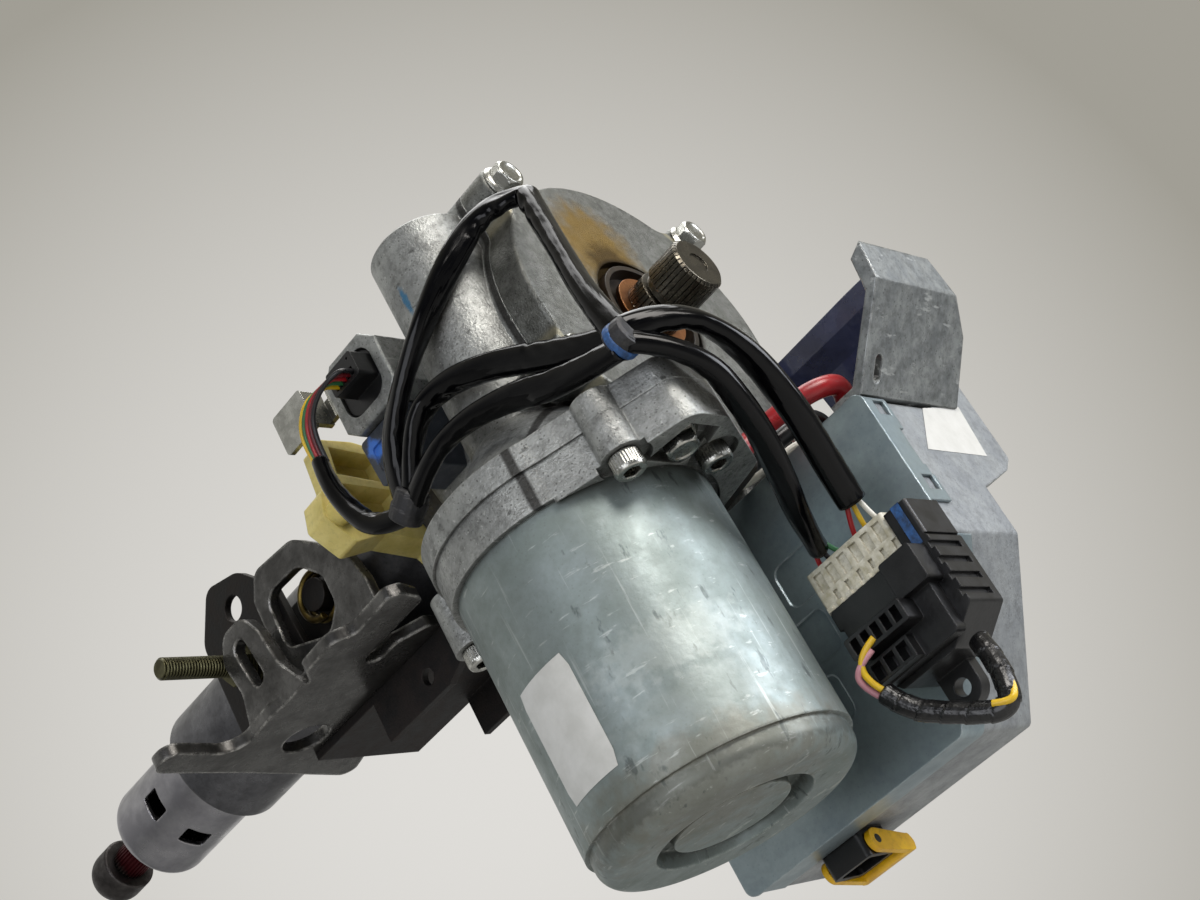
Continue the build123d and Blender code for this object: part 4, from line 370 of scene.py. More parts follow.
seal_rubber = plain_skin("oily_nitrile_rubber", "#15120f", "#2a1f14", 0.32, 1.5, 0.08, 5.0)[0]
dress(seal_rubber, "output_seal")

# Cover bolts and the bolt in the motor's ear: M6 hexagon bolts with washer flange and dished head.
# They are zinc plated, so they are a warm silver, with a bright chamfer.


def join_loops(shape, loops):
    """Skins a row of equal loops and closes both ends."""
    count = len(loops[0])
    for low, high in zip(loops, loops[1:]):
        for k in range(count):
            shape.faces.new((low[k], low[(k + 1) % count], high[(k + 1) % count], high[k]))
    shape.faces.new(list(reversed(loops[0])))
    shape.faces.new(loops[-1])


def finished(name, shape, material):
    """Turns a bmesh into a piece of one material."""
    mesh = bpy.data.meshes.new(name)
    shape.to_mesh(mesh)
    shape.free()
    mesh.materials.append(material)
    piece = bpy.data.objects.new(name, mesh)
    bpy.context.collection.objects.link(piece)
    return piece


def ringed_mesh(name, rings, steps, placements, material):
    """Closed turned pieces made of rings. Each ring is a radius, or a function of the angle, and a height."""
    shape = bmesh.new()
    for centre, axis in placements:
        turn = Vector(axis).to_track_quat("Z", "Y").to_matrix()
        loops = []
        for radius, height in rings:
            loop = []
            for step in range(steps):
                angle = tau * step / steps
                r = radius(angle) if callable(radius) else radius
                spot = Vector((r * cos(angle), r * sin(angle), height))
                loop.append(shape.verts.new(Vector(centre) + turn @ spot))
            loops.append(loop)
        join_loops(shape, loops)
    return finished(name, shape, material)


def hexagon(across):
    """Radius of a hexagon, as a function of the angle."""
    return lambda angle: across / 2 / cos((angle % (pi / 3)) - pi / 6)


MM = 0.001
zinc_plate = metal_skin("zinc_plated_steel", "#b9b9b3", "#9c9c96", "#dededa", "#3d382f", 0.26, 0.5, 0.03, 5.0,
                        edge_mm=0.3, shade_in_corners=0.5, pores=0.1)[0]
HEX = 10 * MM
hex_rings = [
    (3.0 * MM, -12 * MM), (3.0 * MM, 0), (7.0 * MM, 0), (7.1 * MM, 0.5 * MM), (6.4 * MM, 1.3 * MM),
    (5.9 * MM, 1.7 * MM), (hexagon(HEX * 0.985), 1.75 * MM), (hexagon(HEX), 2.0 * MM),
    (hexagon(HEX), 4.9 * MM), (lambda a: min(hexagon(HEX)(a), 5.25 * MM), 5.5 * MM),
    (4.75 * MM, 5.97 * MM), (4.1 * MM, 6.0 * MM), (3.5 * MM, 5.6 * MM), (2.0 * MM, 5.35 * MM),
    (0.4 * MM, 5.3 * MM),
]
LUG_ANGLES = (40, 130, 205, 310)
LUG_CIRCLE = 65 * MM
bolt_places = [((0, LUG_CIRCLE * cos(radians(a)), LUG_CIRCLE * sin(radians(a))), (1, 0, 0))
               for a in LUG_ANGLES]
cover_bolts = ringed_mesh("cover_flange_bolts", hex_rings, 72, bolt_places, zinc_plate)
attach(cover_bolts, "column")
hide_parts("cover_bolts")

# Motor screws: M6 socket cap screws with knurled heads, two on the near side and one behind.
# They are turned and knurled steel in the same zinc plate, driven up through the motor's flange.
WORM_X, WORM_Y = -33.5 * MM, -52 * MM
SCREW_SEAT = -75 * MM
SCREW_CIRCLE = 50.8 * MM
KNURLS = 30


def knurled(angle):
    """Radius of a knurled screw head."""
    return (4.95 + 0.16 * abs(sin(angle * KNURLS / 2))) * MM


socket = hexagon(5 * MM)
cap_rings = [
    (3.0 * MM, -10 * MM), (3.0 * MM, 0), (4.7 * MM, 0), (4.95 * MM, 0.3 * MM), (knurled, 0.6 * MM),
    (knurled, 4.7 * MM), (4.95 * MM, 5.1 * MM), (4.7 * MM, 5.75 * MM), (4.35 * MM, 6.0 * MM),
    (3.1 * MM, 6.0 * MM), (lambda a: socket(a) * 1.02, 5.8 * MM), (socket, 5.6 * MM), (socket, 2.6 * MM),
    (0.5 * MM, 2.3 * MM),
]
SCREW_ANGLES = (-30, 9, 186)
DOWN = (0, 0, -1)
screw_places = [
    ((WORM_X + SCREW_CIRCLE * cos(radians(a)), WORM_Y + SCREW_CIRCLE * sin(radians(a)), SCREW_SEAT), DOWN)
    for a in SCREW_ANGLES]
POCKET_FLOOR = -73 * MM
EAR_BOLT_X, EAR_BOLT_Y = WORM_X + 52.5 * MM, WORM_Y - 9 * MM
ear_place = [((EAR_BOLT_X, EAR_BOLT_Y, POCKET_FLOOR), DOWN)]
motor_screws = ringed_mesh("motor_cap_screws", cap_rings, 120, screw_places, zinc_plate)
ear_bolt = ringed_mesh("motor_ear_bolt", hex_rings, 72, ear_place, zinc_plate)
for piece in (motor_screws, ear_bolt):
    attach(piece, "column")
    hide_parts("motor_fasteners")

# Motor can: deep-drawn steel with a dull zinc coat, so it is a blue-grey metal with a broad, soft gloss.
# Handling has blotched it, and it is scratched at its rolled end.
plated_can, tree, shader, colour, place = metal_skin(
    "zinc_coated_drawn_steel", "#86908f", "#78827f", "#c8ccc7", "#474036", 0.48, 2.2, 0.08, 15.0,
    metallic=0.75, edge_mm=1.2, shade_in_corners=0.45, pores=0.15)
colour = stain(tree, colour, place, (WORM_X + 0.02, WORM_Y - 0.03, -0.163), 0.030, "#6a5a40", 0.35,
               (0.6, 0.6, 2.2), 0.6, 5.0)
colour = scratches(tree, colour, place, (420, 420, 18), "#c3c8c4", 0.3)
colour = scratches(tree, colour, place, (60, 160, 500), "#c9cdc9", 0.35)
colour = scratches(tree, colour, place, (150, 260, 80), "#3f4645", 0.6)
ROLLED_STEP = -0.1635
colour = stain(tree, colour, place, (WORM_X, WORM_Y, ROLLED_STEP), 0.0030, "#40413b", 0.4, (0.02, 0.02, 1.0),
               0.9, 2.5)
for height, strength in ((-0.128, 0.16), (-0.146, 0.10)):
    colour = stain(tree, colour, place, (WORM_X + 0.03, WORM_Y - 0.03, height), 0.020, "#c9cec9", strength,
                   (0.7, 0.7, 2.0), 0.9, 3.0)
tree.links.new(colour, shader.inputs["Base Color"])
dress(plated_can, "motor_can")

# Blank white label on the can: polyester film with rounded corners, wrapped round the steel.
# It is smooth and half glossy.
label_film = plain_skin("white_polyester_film", "#c4c4c0", "#b6b6b1", 0.38, 3.0, 0.05, 9.0, 0.3)[0]


def can_label(name, radius, angles, levels, columns=16):
    """Thin sheet wrapped on a cylinder about the motor's axis."""
    shape = bmesh.new()
    corner = 0.09
    rows = []
    for j in range(9):
        v = j / 8
        inset = corner * (1 - sin(radians(90) * min(1, min(v, 1 - v) / corner))) * 0.5
        row = []
        for i in range(columns + 1):
            u = inset + (1 - 2 * inset) * i / columns
            angle = radians(angles[0] + (angles[1] - angles[0]) * u)
            z = levels[0] + (levels[1] - levels[0]) * v
            row.append(shape.verts.new((WORM_X + radius * cos(angle), WORM_Y + radius * sin(angle), z)))
        rows.append(row)
    for low, high in zip(rows, rows[1:]):
        for i in range(columns):
            shape.faces.new((low[i], low[i + 1], high[i + 1], high[i]))
    piece = finished(name, shape, label_film)
    for face in piece.data.polygons:
        face.use_smooth = True
    return piece


motor_label = can_label("blank_motor_label", 42.6 * MM, (-114, -82), (-150 * MM, -114 * MM))
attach(motor_label, "column")

# Torque sensor: black connector in the casting's arch, a grey moulded cover, and a zinc-plated tab.
# The connector and those of the control unit are moulded in glass-filled nylon, deep black and half glossy.
black_nylon = plain_skin(
    "glass_filled_black_nylon", "#080809", "#0e0e0f", 0.33, 1.2, 0.05, 8.0, dust="#1d1c1b")[0]
dress(black_nylon, "sensor_connector", "header", "signal_plug", "power_socket")
grey_cover, tree, shader, colour, place = plain_skin(
    "dark_grey_nylon", "#373c44", "#2b2f36", 0.45, 1.5, 0.06, 9.0, dust="#5d5f62")
BLUE_SPOT = (-0.0835, -0.059, 0.0045)
colour = stain(tree, colour, place, BLUE_SPOT, 0.0042, "#3a6fc4", 0.9, (1.0, 0.4, 0.9), 0.7, 3.0)
tree.links.new(colour, shader.inputs["Base Color"])
dress(grey_cover, "sensor_cover")
dress(zinc_plate, "side_tab")

# Column tube: seam-welded steel tube in thin grey dip paint, which still shows the metal's gloss.
# The inner sleeve is turned bright steel.
dip_paint = metal_skin("grey_dip_paint", "#626265", "#4c4c4f", "#8f8e8b", "#1b1815", 0.3, 1.6, 0.07, 12.0,
                       metallic=0.75, pores=0.35)[0]
dress(dip_paint, "column_tube")
bright_steel = metal_skin(
    "turned_bright_steel", "#a09fa3", "#87868b", "#d2d1d1", "#4b4744", 0.3, 1.2, 0.03, 14.0)[0]
dress(bright_steel, "inner_sleeve")

# Input shaft: serrated steel, brown-grey under old grease, with a brushed band of dark red marking paint.
# The nut that holds the steering wheel is phosphated steel, which is dark and almost matt.
red_band, tree, shader, colour, place = metal_skin(
    "serrated_steel_with_paint_band", "#6d6662", "#57504c", "#a39c95", "#251d19", 0.38, 0.8, 0.05, 6.0)
spot = add_node(tree, "ShaderNodeSeparateXYZ", Vector=place)
ragged = add_node(tree, "ShaderNodeTexNoise", Vector=place, Scale=220.0, Detail=4.0)
shifted = add_node(tree, "ShaderNodeMath", {"operation": "MULTIPLY_ADD"}, i0=ragged.outputs[0], i1=0.008,
                   i2=spot.outputs["X"])
BAND_FRONT, BAND_BACK, BAND_FADE = -0.3300, -0.3480, 0.0030
front = add_node(tree, "ShaderNodeMapRange", Value=shifted.outputs[0], From_Min=BAND_FRONT,
                 From_Max=BAND_FRONT - BAND_FADE)
back = add_node(tree, "ShaderNodeMapRange", Value=shifted.outputs[0], From_Min=BAND_BACK,
                From_Max=BAND_BACK + BAND_FADE)
band = add_node(tree, "ShaderNodeMath", {"operation": "MULTIPLY"}, i0=front.outputs[0], i1=back.outputs[0])
colour = add_node(tree, "ShaderNodeMix", {"data_type": "RGBA"}, i0=band.outputs[0], i6=colour,
                  i7=paint("#4a171c")).outputs[2]
tree.links.new(colour, shader.inputs["Base Color"])
dress(red_band, "input_shaft")
phosphated = metal_skin(
    "phosphated_steel", "#4c4948", "#393635", "#75706b", "#0f0d0c", 0.5, 0.9, 0.12, 5.0)[0]
dress(phosphated, "wheel_nut")

# Tilt bracket: folded sheet steel in grey dip paint, rubbed to bright metal on its edges.
# The plates and lugs behind it are oxide-blacked or painted black, and the spring is passivated yellow.
bracket_paint = metal_skin("worn_grey_dip_paint", "#605f5d", "#464543", "#cfcdc8", "#171411", 0.28, 1.4, 0.08,
                           11.0, metallic=0.8, edge_mm=1.7, wear=0.95, pores=0.4)[0]
dress(bracket_paint, "mounting_bracket")
dark_plate = metal_skin("black_oxide_steel", "#171615", "#211c19", "#453f3a", "#0d0b09", 0.5, 1.2, 0.1, 9.0,
                        metallic=0.6, wear=0.5)[0]
dress(dark_plate, "tilt_plate", "clamp_block", "pivot_lug")
rusty = metal_skin("rusting_black_paint", "#100e0e", "#1c1512", "#3d3028", "#070606", 0.6, 1.0, 0.15, 7.0,
                   metallic=0.3, wear=0.5)[0]
dress(rusty, "pivot_bracket")
passivated = metal_skin(
    "yellow_passivated_spring_steel", "#85733d", "#5c4d28", "#b5a365", "#2a2210", 0.4, 0.8, 0.04, 5.0)[0]
dress(passivated, "tilt_spring")
dress(zinc_plate, "pivot_bolt")

# Tilt stud: a steel stud with an M8 thread rolled at 1.25 mm pitch.
# It is olive with old plating, dark in the roots of the thread.
threaded, tree, shader, colour, place = metal_skin(
    "rolled_m8_thread", "#5f5d45", "#474431", "#a9a483", "#16140c", 0.35, 0.6, 0.03, 5.0, edge_mm=0.2)
THREAD_PITCH = 1.25 * MM
wave = add_node(tree, "ShaderNodeMath", {"operation": "MULTIPLY"},
                i0=add_node(tree, "ShaderNodeSeparateXYZ", Vector=place).outputs["Y"], i1=tau / THREAD_PITCH)
crest = add_node(tree, "ShaderNodeMath", {"operation": "SINE"}, i0=wave.outputs[0])
relief = add_node(tree, "ShaderNodeBump", Height=crest.outputs[0], Distance=0.4 * MM)
tree.links.new(relief.outputs[0], shader.inputs["Normal"])
dress(threaded, "tilt_fastener")

# Harness clip round the tube, moulded in natural nylon: a waxy cream plastic that light goes a little way
# into. The worm wheel's rim is moulded in the same nylon.
natural_nylon, tree, shader, colour, place = plain_skin(
    "natural_nylon", "#d2c37c", "#b8a85a", 0.42, 2.0, 0.05, 12.0, dust="#8a7f4c")
shader.inputs["Subsurface Weight"].default_value = 0.25
shader.inputs["Subsurface Radius"].default_value = (0.004, 0.003, 0.0015)
shader.inputs["Subsurface Scale"].default_value = 1.0
dress(natural_nylon, "harness_clip", "wheel_rim")

# Control unit: cast aluminium body, a zinc-plated pressed cover, an aluminium guard and a dark sheet.
# The casting is matt grey, the cover bluer and smoother, and the guard tumbled, so it is full of small scars.
unit_casting = metal_skin(
    "heat_sink_casting", "#9da1a3", "#868a8d", "#cfd1d0", "#3a3835", 0.46, 0.9, 0.16, 14.0,
    metallic=0.6, pores=0.4)[0]
dress(unit_casting, "unit_housing")
zinc_sheet = metal_skin(
    "zinc_plated_sheet", "#9fadb1", "#87959b", "#d5dde0", "#45464a", 0.36, 3.0, 0.03, 22.0,
    metallic=0.8, edge_mm=0.7, shade_in_corners=0.2, pores=0.15)[0]
dress(zinc_sheet, "unit_lid")
guard_metal, tree, shader, colour, place = metal_skin(
    "tumbled_aluminium_sheet", "#a3a7a7", "#7d8182", "#d6d8d6", "#2f2e2b", 0.40, 1.6, 0.10, 8.0, metallic=0.8,
    edge_mm=1.1, pores=0.55)
colour = scratches(tree, colour, place, (300, 90, 300), "#d3d6d5", 0.55)
tree.links.new(colour, shader.inputs["Base Color"])
dress(guard_metal, "unit_guard")
splash_film = plain_skin("dark_polyester_sheet", "#1b1e33", "#272c46", 0.22, 4.0, 0.25, 20.0, coat=0.5)[0]
dress(splash_film, "splash_sheet")

# Blank white label on the unit's side: the same polyester film as on the can.
# It is stuck flat on the casting, with its corners cut to the casting's edges.


def sheet_piece(name, corners, faces, material):
    """Sheet of flat faces between its corners."""
    mesh = bpy.data.meshes.new(name)
    mesh.from_pydata(corners, [], faces)
    mesh.materials.append(material)
    piece = bpy.data.objects.new(name, mesh)
    bpy.context.collection.objects.link(piece)
    return piece


LABEL_X = 42.62 * MM
unit_label = sheet_piece("blank_unit_label", [
    (LABEL_X, 28.3 * MM, -90.5 * MM), (LABEL_X, 65.3 * MM, -90.7 * MM), (LABEL_X, 69 * MM, -69.5 * MM),
    (LABEL_X, 43 * MM, -72.5 * MM)], [(0, 1, 2, 3)], label_film)
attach(unit_label, "column")

# Connectors: harness plug moulded in white glass-filled polyester, yellow locking lever in acetal.
# Both are half glossy, and dirt has settled on them.
white_polyester = plain_skin(
    "white_connector_plastic", "#c9c6b8", "#a39d86", 0.4, 1.4, 0.04, 3.0, dust="#5f594a")[0]
dress(white_polyester, "harness_plug")
yellow_acetal = plain_skin("yellow_acetal", "#dcae12", "#c39305", 0.35, 1.6, 0.04, 8.0, dust="#6d5a20")[0]
dress(yellow_acetal, "power_lever")

# Harness sleeves: soft black vinyl sleeving over the leads. It is pressed flat, twists slowly, and
# folds on the inner side of each bend. Cloth tape holds the bundle where the sleeves meet.


def cable(name, points, radius, material):
    """Smooth round lead through a route in millimetres, its control points shared with the CAD tube."""
    curve = bpy.data.curves.new(name, "CURVE")
    curve.dimensions = "3D"
    curve.bevel_depth = radius * MM
    curve.bevel_resolution = 5
    curve.resolution_u = 14
    curve.use_fill_caps = True
    line = curve.splines.new("NURBS")
    line.points.add(len(points) - 1)
    for k, (x, y, z) in enumerate(points):
        line.points[k].co = (x * MM, y * MM, z * MM, 1)
    line.order_u = 3
    line.use_endpoint_u = True
    curve.materials.append(material)
    piece = bpy.data.objects.new(name, curve)
    bpy.context.collection.objects.link(piece)
    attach(piece, "column")
    return piece


cloth_tape = plain_skin("black_cloth_tape", "#111113", "#1c1c20", 0.5, 0.8, 0.12, 6.0, dust="#45433e")[0]
vinyl, tree, shader, colour, place = plain_skin(
    "black_vinyl_sleeving", "#030304", "#060607", 0.13, 9.0, 0.3, 10.0, edge_mm=0.3)
shader.inputs["Specular IOR Level"].default_value = 0.2
wrap = add_node(tree, "ShaderNodeTexCoord").outputs["UV"]
drawn = add_node(tree, "ShaderNodeVectorMath", {"operation": "MULTIPLY"}, i0=wrap, i1=(6.0, 45.0, 0.0))
wrinkle = add_node(tree, "ShaderNodeTexNoise", Vector=drawn.outputs[0], Scale=1.0, Detail=3.0, Roughness=0.45)
ripple = add_node(tree, "ShaderNodeBump", Height=wrinkle.outputs[0], Distance=0.0005)
tree.links.new(ripple.outputs[0], shader.inputs["Normal"])
lint = add_node(tree, "ShaderNodeTexNoise", Vector=place, Scale=330.0, Detail=6.0, Roughness=0.8)
dusty = add_node(tree, "ShaderNodeMapRange", Value=lint.outputs[0], From_Min=0.60, From_Max=0.85, To_Max=0.10)
colour = tinted(tree, colour, dusty.outputs[0], "#4b4a47", 1.0)
tree.links.new(colour, shader.inputs["Base Color"])


def route_line(points):
    """Points along the smooth line of a route, read from its spline."""
    guide = cable("guide", points, 0.0, cloth_tape)
    guide.data.resolution_u = 24
    mesh = bpy.data.meshes.new_from_object(guide)
    line = [v.co.copy() for v in mesh.vertices]
    bpy.data.meshes.remove(mesh)
    bpy.data.objects.remove(guide)
    return line


FOLD_STEP = 0.0075
SLEEVE_SIDES = 28


def soft_sleeve(name, points, radius, seed, kink=None):
    """Vinyl sleeve along a route. A kink is a share of its length where it is nipped flat."""
    line = route_line(points)
    total = sum((b - a).length for a, b in zip(line, line[1:]))
    shape = bmesh.new()
    wrap = shape.loops.layers.uv.new("around_and_along")
    across = Vector((0, 0, 1))
    length = 0.0
    loops = []
    lengths = []
    for k, spot in enumerate(line):
        before, after = line[max(k - 1, 0)], line[min(k + 1, len(line) - 1)]
        ahead = (after - before).normalized()
        across = (across - ahead * across.dot(ahead)).normalized()
        other = ahead.cross(across)
        length += (spot - before).length
        bend = (after - spot) - (spot - before)
        run = (after - before).length / 2
        tight = min(1.0, 4.0 * radius * bend.length / run ** 2) if 0 < k < len(line) - 1 else 0.0
        inner = atan2(bend.dot(other), bend.dot(across))
        twist = seed + 2.0 * sin(length * 22 + seed)
        nip = exp(-((length / total - kink) * total / (1.6 * radius)) ** 2) if kink else 0.0
        loop = []
        for side in range(SLEEVE_SIDES):
            angle = tau * side / SLEEVE_SIDES
            press = 0.98 + (0.17 + 0.25 * nip) * cos(2 * (angle - twist))
            fold = 0.5 - 0.5 * cos(tau * length / FOLD_STEP + 1.5 * sin(3 * angle))
            hollow = 1 - 0.15 * tight * fold * max(0.0, cos(angle - inner)) ** 2
            lump = noise.noise(Vector((1.3 * cos(angle), 1.3 * sin(angle), length * 45 + 9 * seed)))
            r = radius * press * hollow * (1 + 0.06 * lump)
            loop.append(shape.verts.new(spot + (across * cos(angle) + other * sin(angle)) * r))
        loops.append(loop)
        lengths.append(length)
    for low, high, start, end in zip(loops, loops[1:], lengths, lengths[1:]):
        for side in range(SLEEVE_SIDES):
            after = (side + 1) % SLEEVE_SIDES
            face = shape.faces.new((low[side], low[after], high[after], high[side]))
            face.smooth = True
            corners = ((side, start), (side + 1, start), (side + 1, end), (side, end))
            for corner, (turn, height) in zip(face.loops, corners):
                corner[wrap].uv = (turn / SLEEVE_SIDES, height)
    shape.faces.new(list(reversed(loops[0])))
    shape.faces.new(loops[-1])
    piece = finished(name, shape, vinyl)
    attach(piece, "column")
    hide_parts("harness_sleeves")


SLEEVE = 4.0
THIN_SLEEVE = 3.4
sleeve_routes = {
    "loop": [
        (31.0, -79, -49), (25, -74, -30), (17.5, -61, 1.5), (11.9, -51.5, 30.5), (10.9, -51.3, 33.0),
        (-4, -56, 37.5), (-16.5, -67.5, 24), (-32, -76.5, 8.5), (-51, -79, -5), (-62, -79.5, -18),
        (-65, -79, -32),
    ],
    "upper": [
        (29.5, -77.5, -48), (9, -77, -36), (-11, -77.5, -22), (-34, -78, -12), (-49, -80.5, -16.5),
        (-61.5, -79, -31),
    ],
    "lower": [
        (29.5, -80, -51.5), (8, -80.5, -46), (-12, -79.5, -35), (-34, -79.5, -28), (-50, -81.5, -31),
        (-63, -79, -35),
    ],
    "far": [
        (32.0, -79, -47.5), (42, -66, -46), (46, -50, -58), (43, -36, -78), (36, -23, -93),
        (31, -13, -104),
    ],
    "near": [
        (32.0, -79, -51), (42, -66, -60), (37, -49, -80), (28, -36, -94), (19, -24, -102),
        (13, -12, -107),
    ],
}
sleeve_kinks = {"loop": 0.46}
for seed, (name, route) in enumerate(sleeve_routes.items()):
    soft_sleeve(f"{name}_sleeve", route, SLEEVE * MM, 0.8 * seed + 0.4, sleeve_kinks.get(name))
sensor_route = [(-67, -79, -36), (-79, -80.5, -33), (-87, -79, -19), (-92, -77, -4), (-93, -75, 5)]
soft_sleeve("sensor_sleeve", sensor_route, THIN_SLEEVE * MM, 5.2)

# Ties: cloth tape wound over the bundle, with a turn of blue tape round the one by the ear.
# The tail of the signal plug is wound with vinyl tape, which is smoother and shines.


def wound_tape(name, line, radius, pitch, step, material, swell=0.0):
    """Tube wound with tape: each turn overlaps the last, so its radius steps down once a turn."""
    shape = bmesh.new()
    sides = 20
    length = 0.0
    across = Vector((0, 0, 1)) if abs((line[1] - line[0]).normalized().z) < 0.9 else Vector((1, 0, 0))
    total = sum((b - a).length for a, b in zip(line, line[1:]))
    loops = []
    for k, spot in enumerate(line):
        ahead = (line[min(k + 1, len(line) - 1)] - line[max(k - 1, 0)]).normalized()
        across = (across - ahead * across.dot(ahead)).normalized()
        other = ahead.cross(across)
        if k:
            length += (spot - line[k - 1]).length
        end = min(1.0, min(length, total - length) / (radius * 0.5) + 0.8)
        loop = []
        for side in range(sides):
            angle = tau * side / sides
            turn = (length / pitch + side / sides) % 1.0
            r = radius * end * (1 - swell * (2 * length / total - 1) ** 2) - step * turn
            loop.append(shape.verts.new(spot + (across * cos(angle) + other * sin(angle)) * r))
        loops.append(loop)
    join_loops(shape, loops)
    piece = finished(name, shape, material)
    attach(piece, "column")
    return piece


def straight(start, end, count=28):
    """Evenly spaced points between two places given in millimetres."""
    a, b = Vector(start) * MM, Vector(end) * MM
    return [a.lerp(b, k / (count - 1)) for k in range(count)]


for name, start, end in (("harness_tie", (27.2, -79, -49.5), (35.2, -79, -49.5)),
                         ("harness_junction", (-60, -79, -32), (-69.5, -79, -37.5))):
    tie = wound_tape(name, straight(start, end), 5.9 * MM, 5 * MM, 0.35 * MM, cloth_tape, 0.05)
    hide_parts("harness_ties")
blue_tape = plain_skin("blue_cloth_tape", "#27568f", "#152f50", 0.45, 0.8, 0.12, 2.5, dust="#2b3038")[0]
blue_turn = wound_tape("blue_tape_turn", straight((28.0, -79, -49.5), (31.6, -79, -49.5), 8), 6.15 * MM,
                       5 * MM, 0.1 * MM, blue_tape)
shiny_tape = plain_skin("black_vinyl_tape", "#070708", "#0d0d0e", 0.26, 2.4, 0.35, 6.0, dust="#222120")[0]
tail = wound_tape("taped_tail", route_line(
    [(12.2, -23, -158), (15.5, -22, -166), (25, -20, -173.5), (35, -17.5, -180.2), (39.5, -16, -180.7),
     (41.3, -14.8, -177.0), (41, -11, -167), (38.5, -8, -158.4)]), THIN_SLEEVE * MM, 7 * MM, 0.3 * MM,
    shiny_tape)
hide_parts("tail_loop")

# Thin leads: five to the torque sensor, six into the harness plug and two into the signal plug.
# Their vinyl is glossy and each has its own colour.
lead_colours = {
    "yellow": ("#d3b021", "#b99512"), "red": ("#a01c22", "#84141a"), "black": ("#101012", "#1a1a1c"),
    "pink": ("#b9838a", "#a06f77"), "white": ("#c9c7bd", "#b5b2a5"), "green": ("#2f6b40", "#265a34"),
    "maroon": ("#5e1219", "#4a0d13"),
}
lead_skins = {name: plain_skin(f"{name}_lead_vinyl", base, patch, 0.3, 3.0, 0.04, 8.0)[0]
              for name, (base, patch) in lead_colours.items()}
SLOT_X = -71.5
SLOT_PITCH = 2.1
for index, tone in enumerate(("yellow", "green", "red", "maroon", "black")):
    side = index - 2
    slot = SLOT_X + SLOT_PITCH * side
    lead = cable(f"sensor_lead_{index}", [
        (-93 + 1.1 * side, -75 + 0.4 * abs(side), 4.0), (-92.5 + 1.7 * side, -76.5, 15),
        (-84 + 1.7 * side, -78, 23 - 0.5 * side), (slot - 1.5, -76.5, 24), (slot, -71.5, 23.5),
        (slot, -67.6, 23.5)], 0.8, lead_skins[tone])
    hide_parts("harness_wires")
PLUG_X = 20.1
PLUG_PITCH = 5.0
PLUG_TOP = -112
plug_leads = (((31, -13, -104.2), (0.5, 1.5, 2.5), ("red", "yellow", "white")),
              ((13, -12, -107.2), (-2.5, -1.5, -0.5), ("red", "black", "green")))
for start, columns, tones in plug_leads:
    for column, tone in zip(columns, tones):
        x = PLUG_X + PLUG_PITCH * column
        start_x = start[0] + 1.8 * (column - columns[1])
        lead = cable(f"plug_lead_{column}", [
            (start_x, start[1], start[2] + 1), ((start_x + x) / 2, start[1] + 2, start[2] - 3.5),
            (x, -7.5, PLUG_TOP - 0.5), (x + 0.1, -7.3, PLUG_TOP - 6)], 0.8, lead_skins[tone])
        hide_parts("harness_wires")
for shift, tone in ((-1.2, "pink"), (1.2, "yellow")):
    lead = cable(f"tail_lead_{tone}", [
        (19 + shift, -25.9, -146 + shift), (13 + shift, -28, -148 + shift),
        (9.5 + shift, -26, -153), (12 + shift, -23.3, -158.5)], 1.0, lead_skins[tone])
    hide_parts("harness_wires")

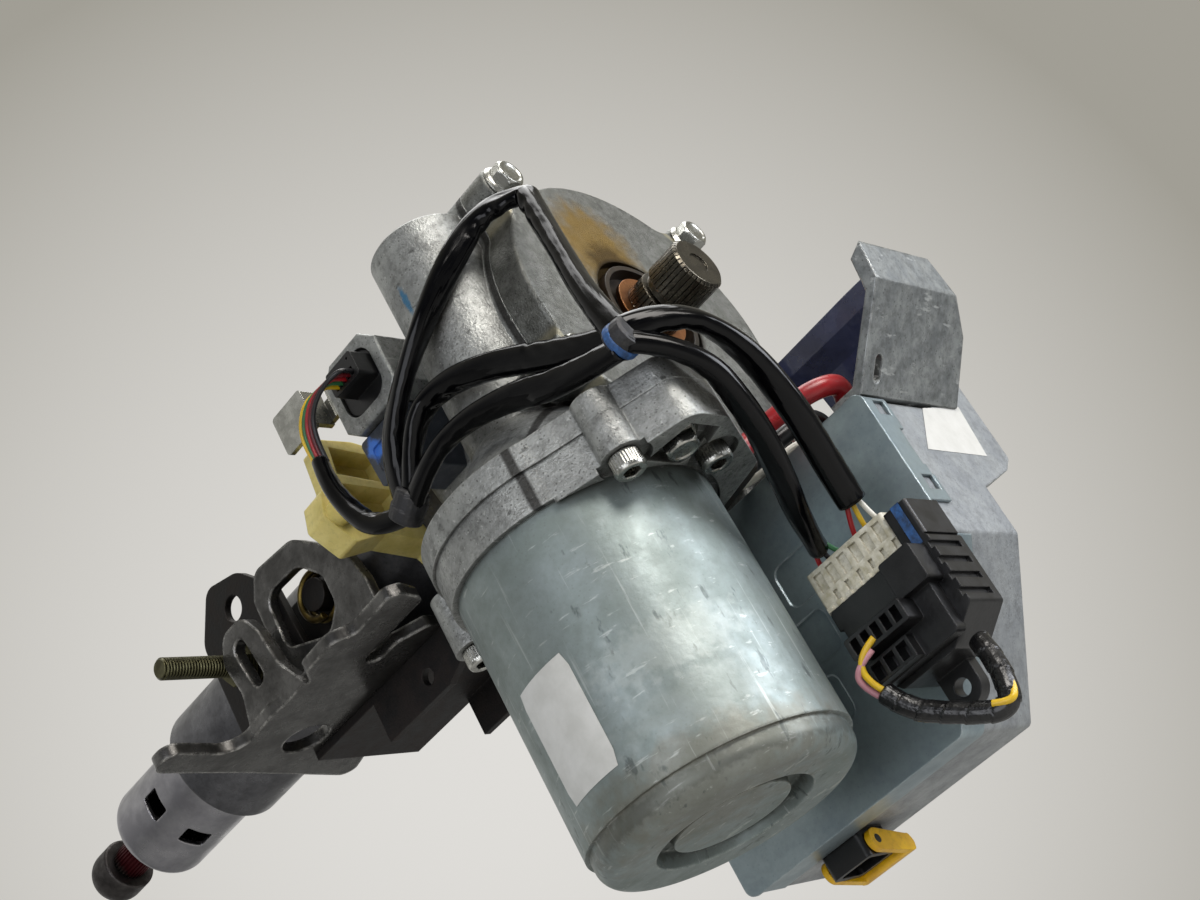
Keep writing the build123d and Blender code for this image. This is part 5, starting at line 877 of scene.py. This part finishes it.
# Power leads from the motor to the control unit: thick stranded copper in rubber, red, black and pale.
# They pass a moulded rubber grommet at each end.
dress(seal_rubber, "lead_grommets")
power_routes = (
    ("red", 3.4, [(5.5, -14, -68.5), (8, -6, -62.5), (20, -1, -60.5), (33, 6, -59.5), (37, 17, -60),
                  (26, 26, -67)]),
    ("black", 3.0, [(-2.5, -12.5, -70), (1, -2, -67.5), (11, 7, -63), (19, 15, -60), (20, 23, -60.5),
                    (18.5, 26, -67)]),
    ("white", 1.8, [(-10, -10.5, -71), (-7, 1, -68.2), (2, 12, -66.0), (8, 20, -62.5), (11, 25, -62.5),
                    (11.5, 26, -67)]),
)
for tone, radius, route in power_routes:
    lead = cable(f"{tone}_power_lead", route, radius, lead_skins[tone])
    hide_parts("power_leads")

# Loose ends of marking: a yellow lead bare at the tail's corner, and blue cloth tape over the header's step.
# The lead is glossy vinyl like the others. The tape is stuck down over the step's two faces.
corner_lead = cable("tail_corner_lead", [(37, -19.5, -178.5), (41.5, -18.5, -181), (43.5, -16, -178.5),
                                         (43, -13.5, -173)], 1.1, lead_skins["yellow"])
STEP_LEFT, STEP_RIGHT, STEP_FACE, STEP_TOP = 40.0 * MM, 43.2 * MM, -13.25 * MM, -113.8 * MM
step_tape = sheet_piece("blue_step_tape", [
    (x, y, z) for y, z in ((STEP_FACE, -128 * MM), (STEP_FACE, STEP_TOP), (-3 * MM, STEP_TOP))
    for x in (STEP_LEFT, STEP_RIGHT)], [(0, 1, 3, 2), (2, 3, 5, 4)], blue_tape)
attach(step_tape, "column")

# Pieces inside: gears, bearings, rotor, magnets and board, which nothing shows from outside.
# Each has the plain finish of its material: ground or turned steel, black nylon, sintered magnet, lacquer.
ground_steel = metal_skin(
    "ground_bearing_steel", "#a5a5a5", "#949494", "#d0d0d0", "#33302c", 0.25, 0.8, 0.02, 9.0)[0]
dress(ground_steel, "shaft_bearings", "small_bearings", "upper_bearing", "worm_shaft", "torsion_bar",
      "front_torsion_pin", "rear_torsion_pin", "adjuster_plug")
turned_steel = metal_skin("turned_steel", "#8b8b89", "#7b7b79", "#bdbdbb", "#2f2c28", 0.35, 0.9, 0.04, 9.0)[0]
dress(turned_steel, "wheel_hub", "coupling", "rotor", "output_detection_ring", "input_detection_ring")
inner_nylon = plain_skin("black_inner_nylon", "#1a1a1b", "#222224", 0.5, 1.4, 0.04)[0]
dress(inner_nylon, "sleeve_bush", "brush_holder", "sensor_coil")
sintered = plain_skin("sintered_magnet", "#2b2b2d", "#232325", 0.6, 1.0, 0.08)[0]
dress(sintered, "magnets")
board_lacquer = plain_skin("green_board_lacquer", "#1f5a33", "#184a29", 0.35, 2.0, 0.05)[0]
dress(board_lacquer, "circuit_board")
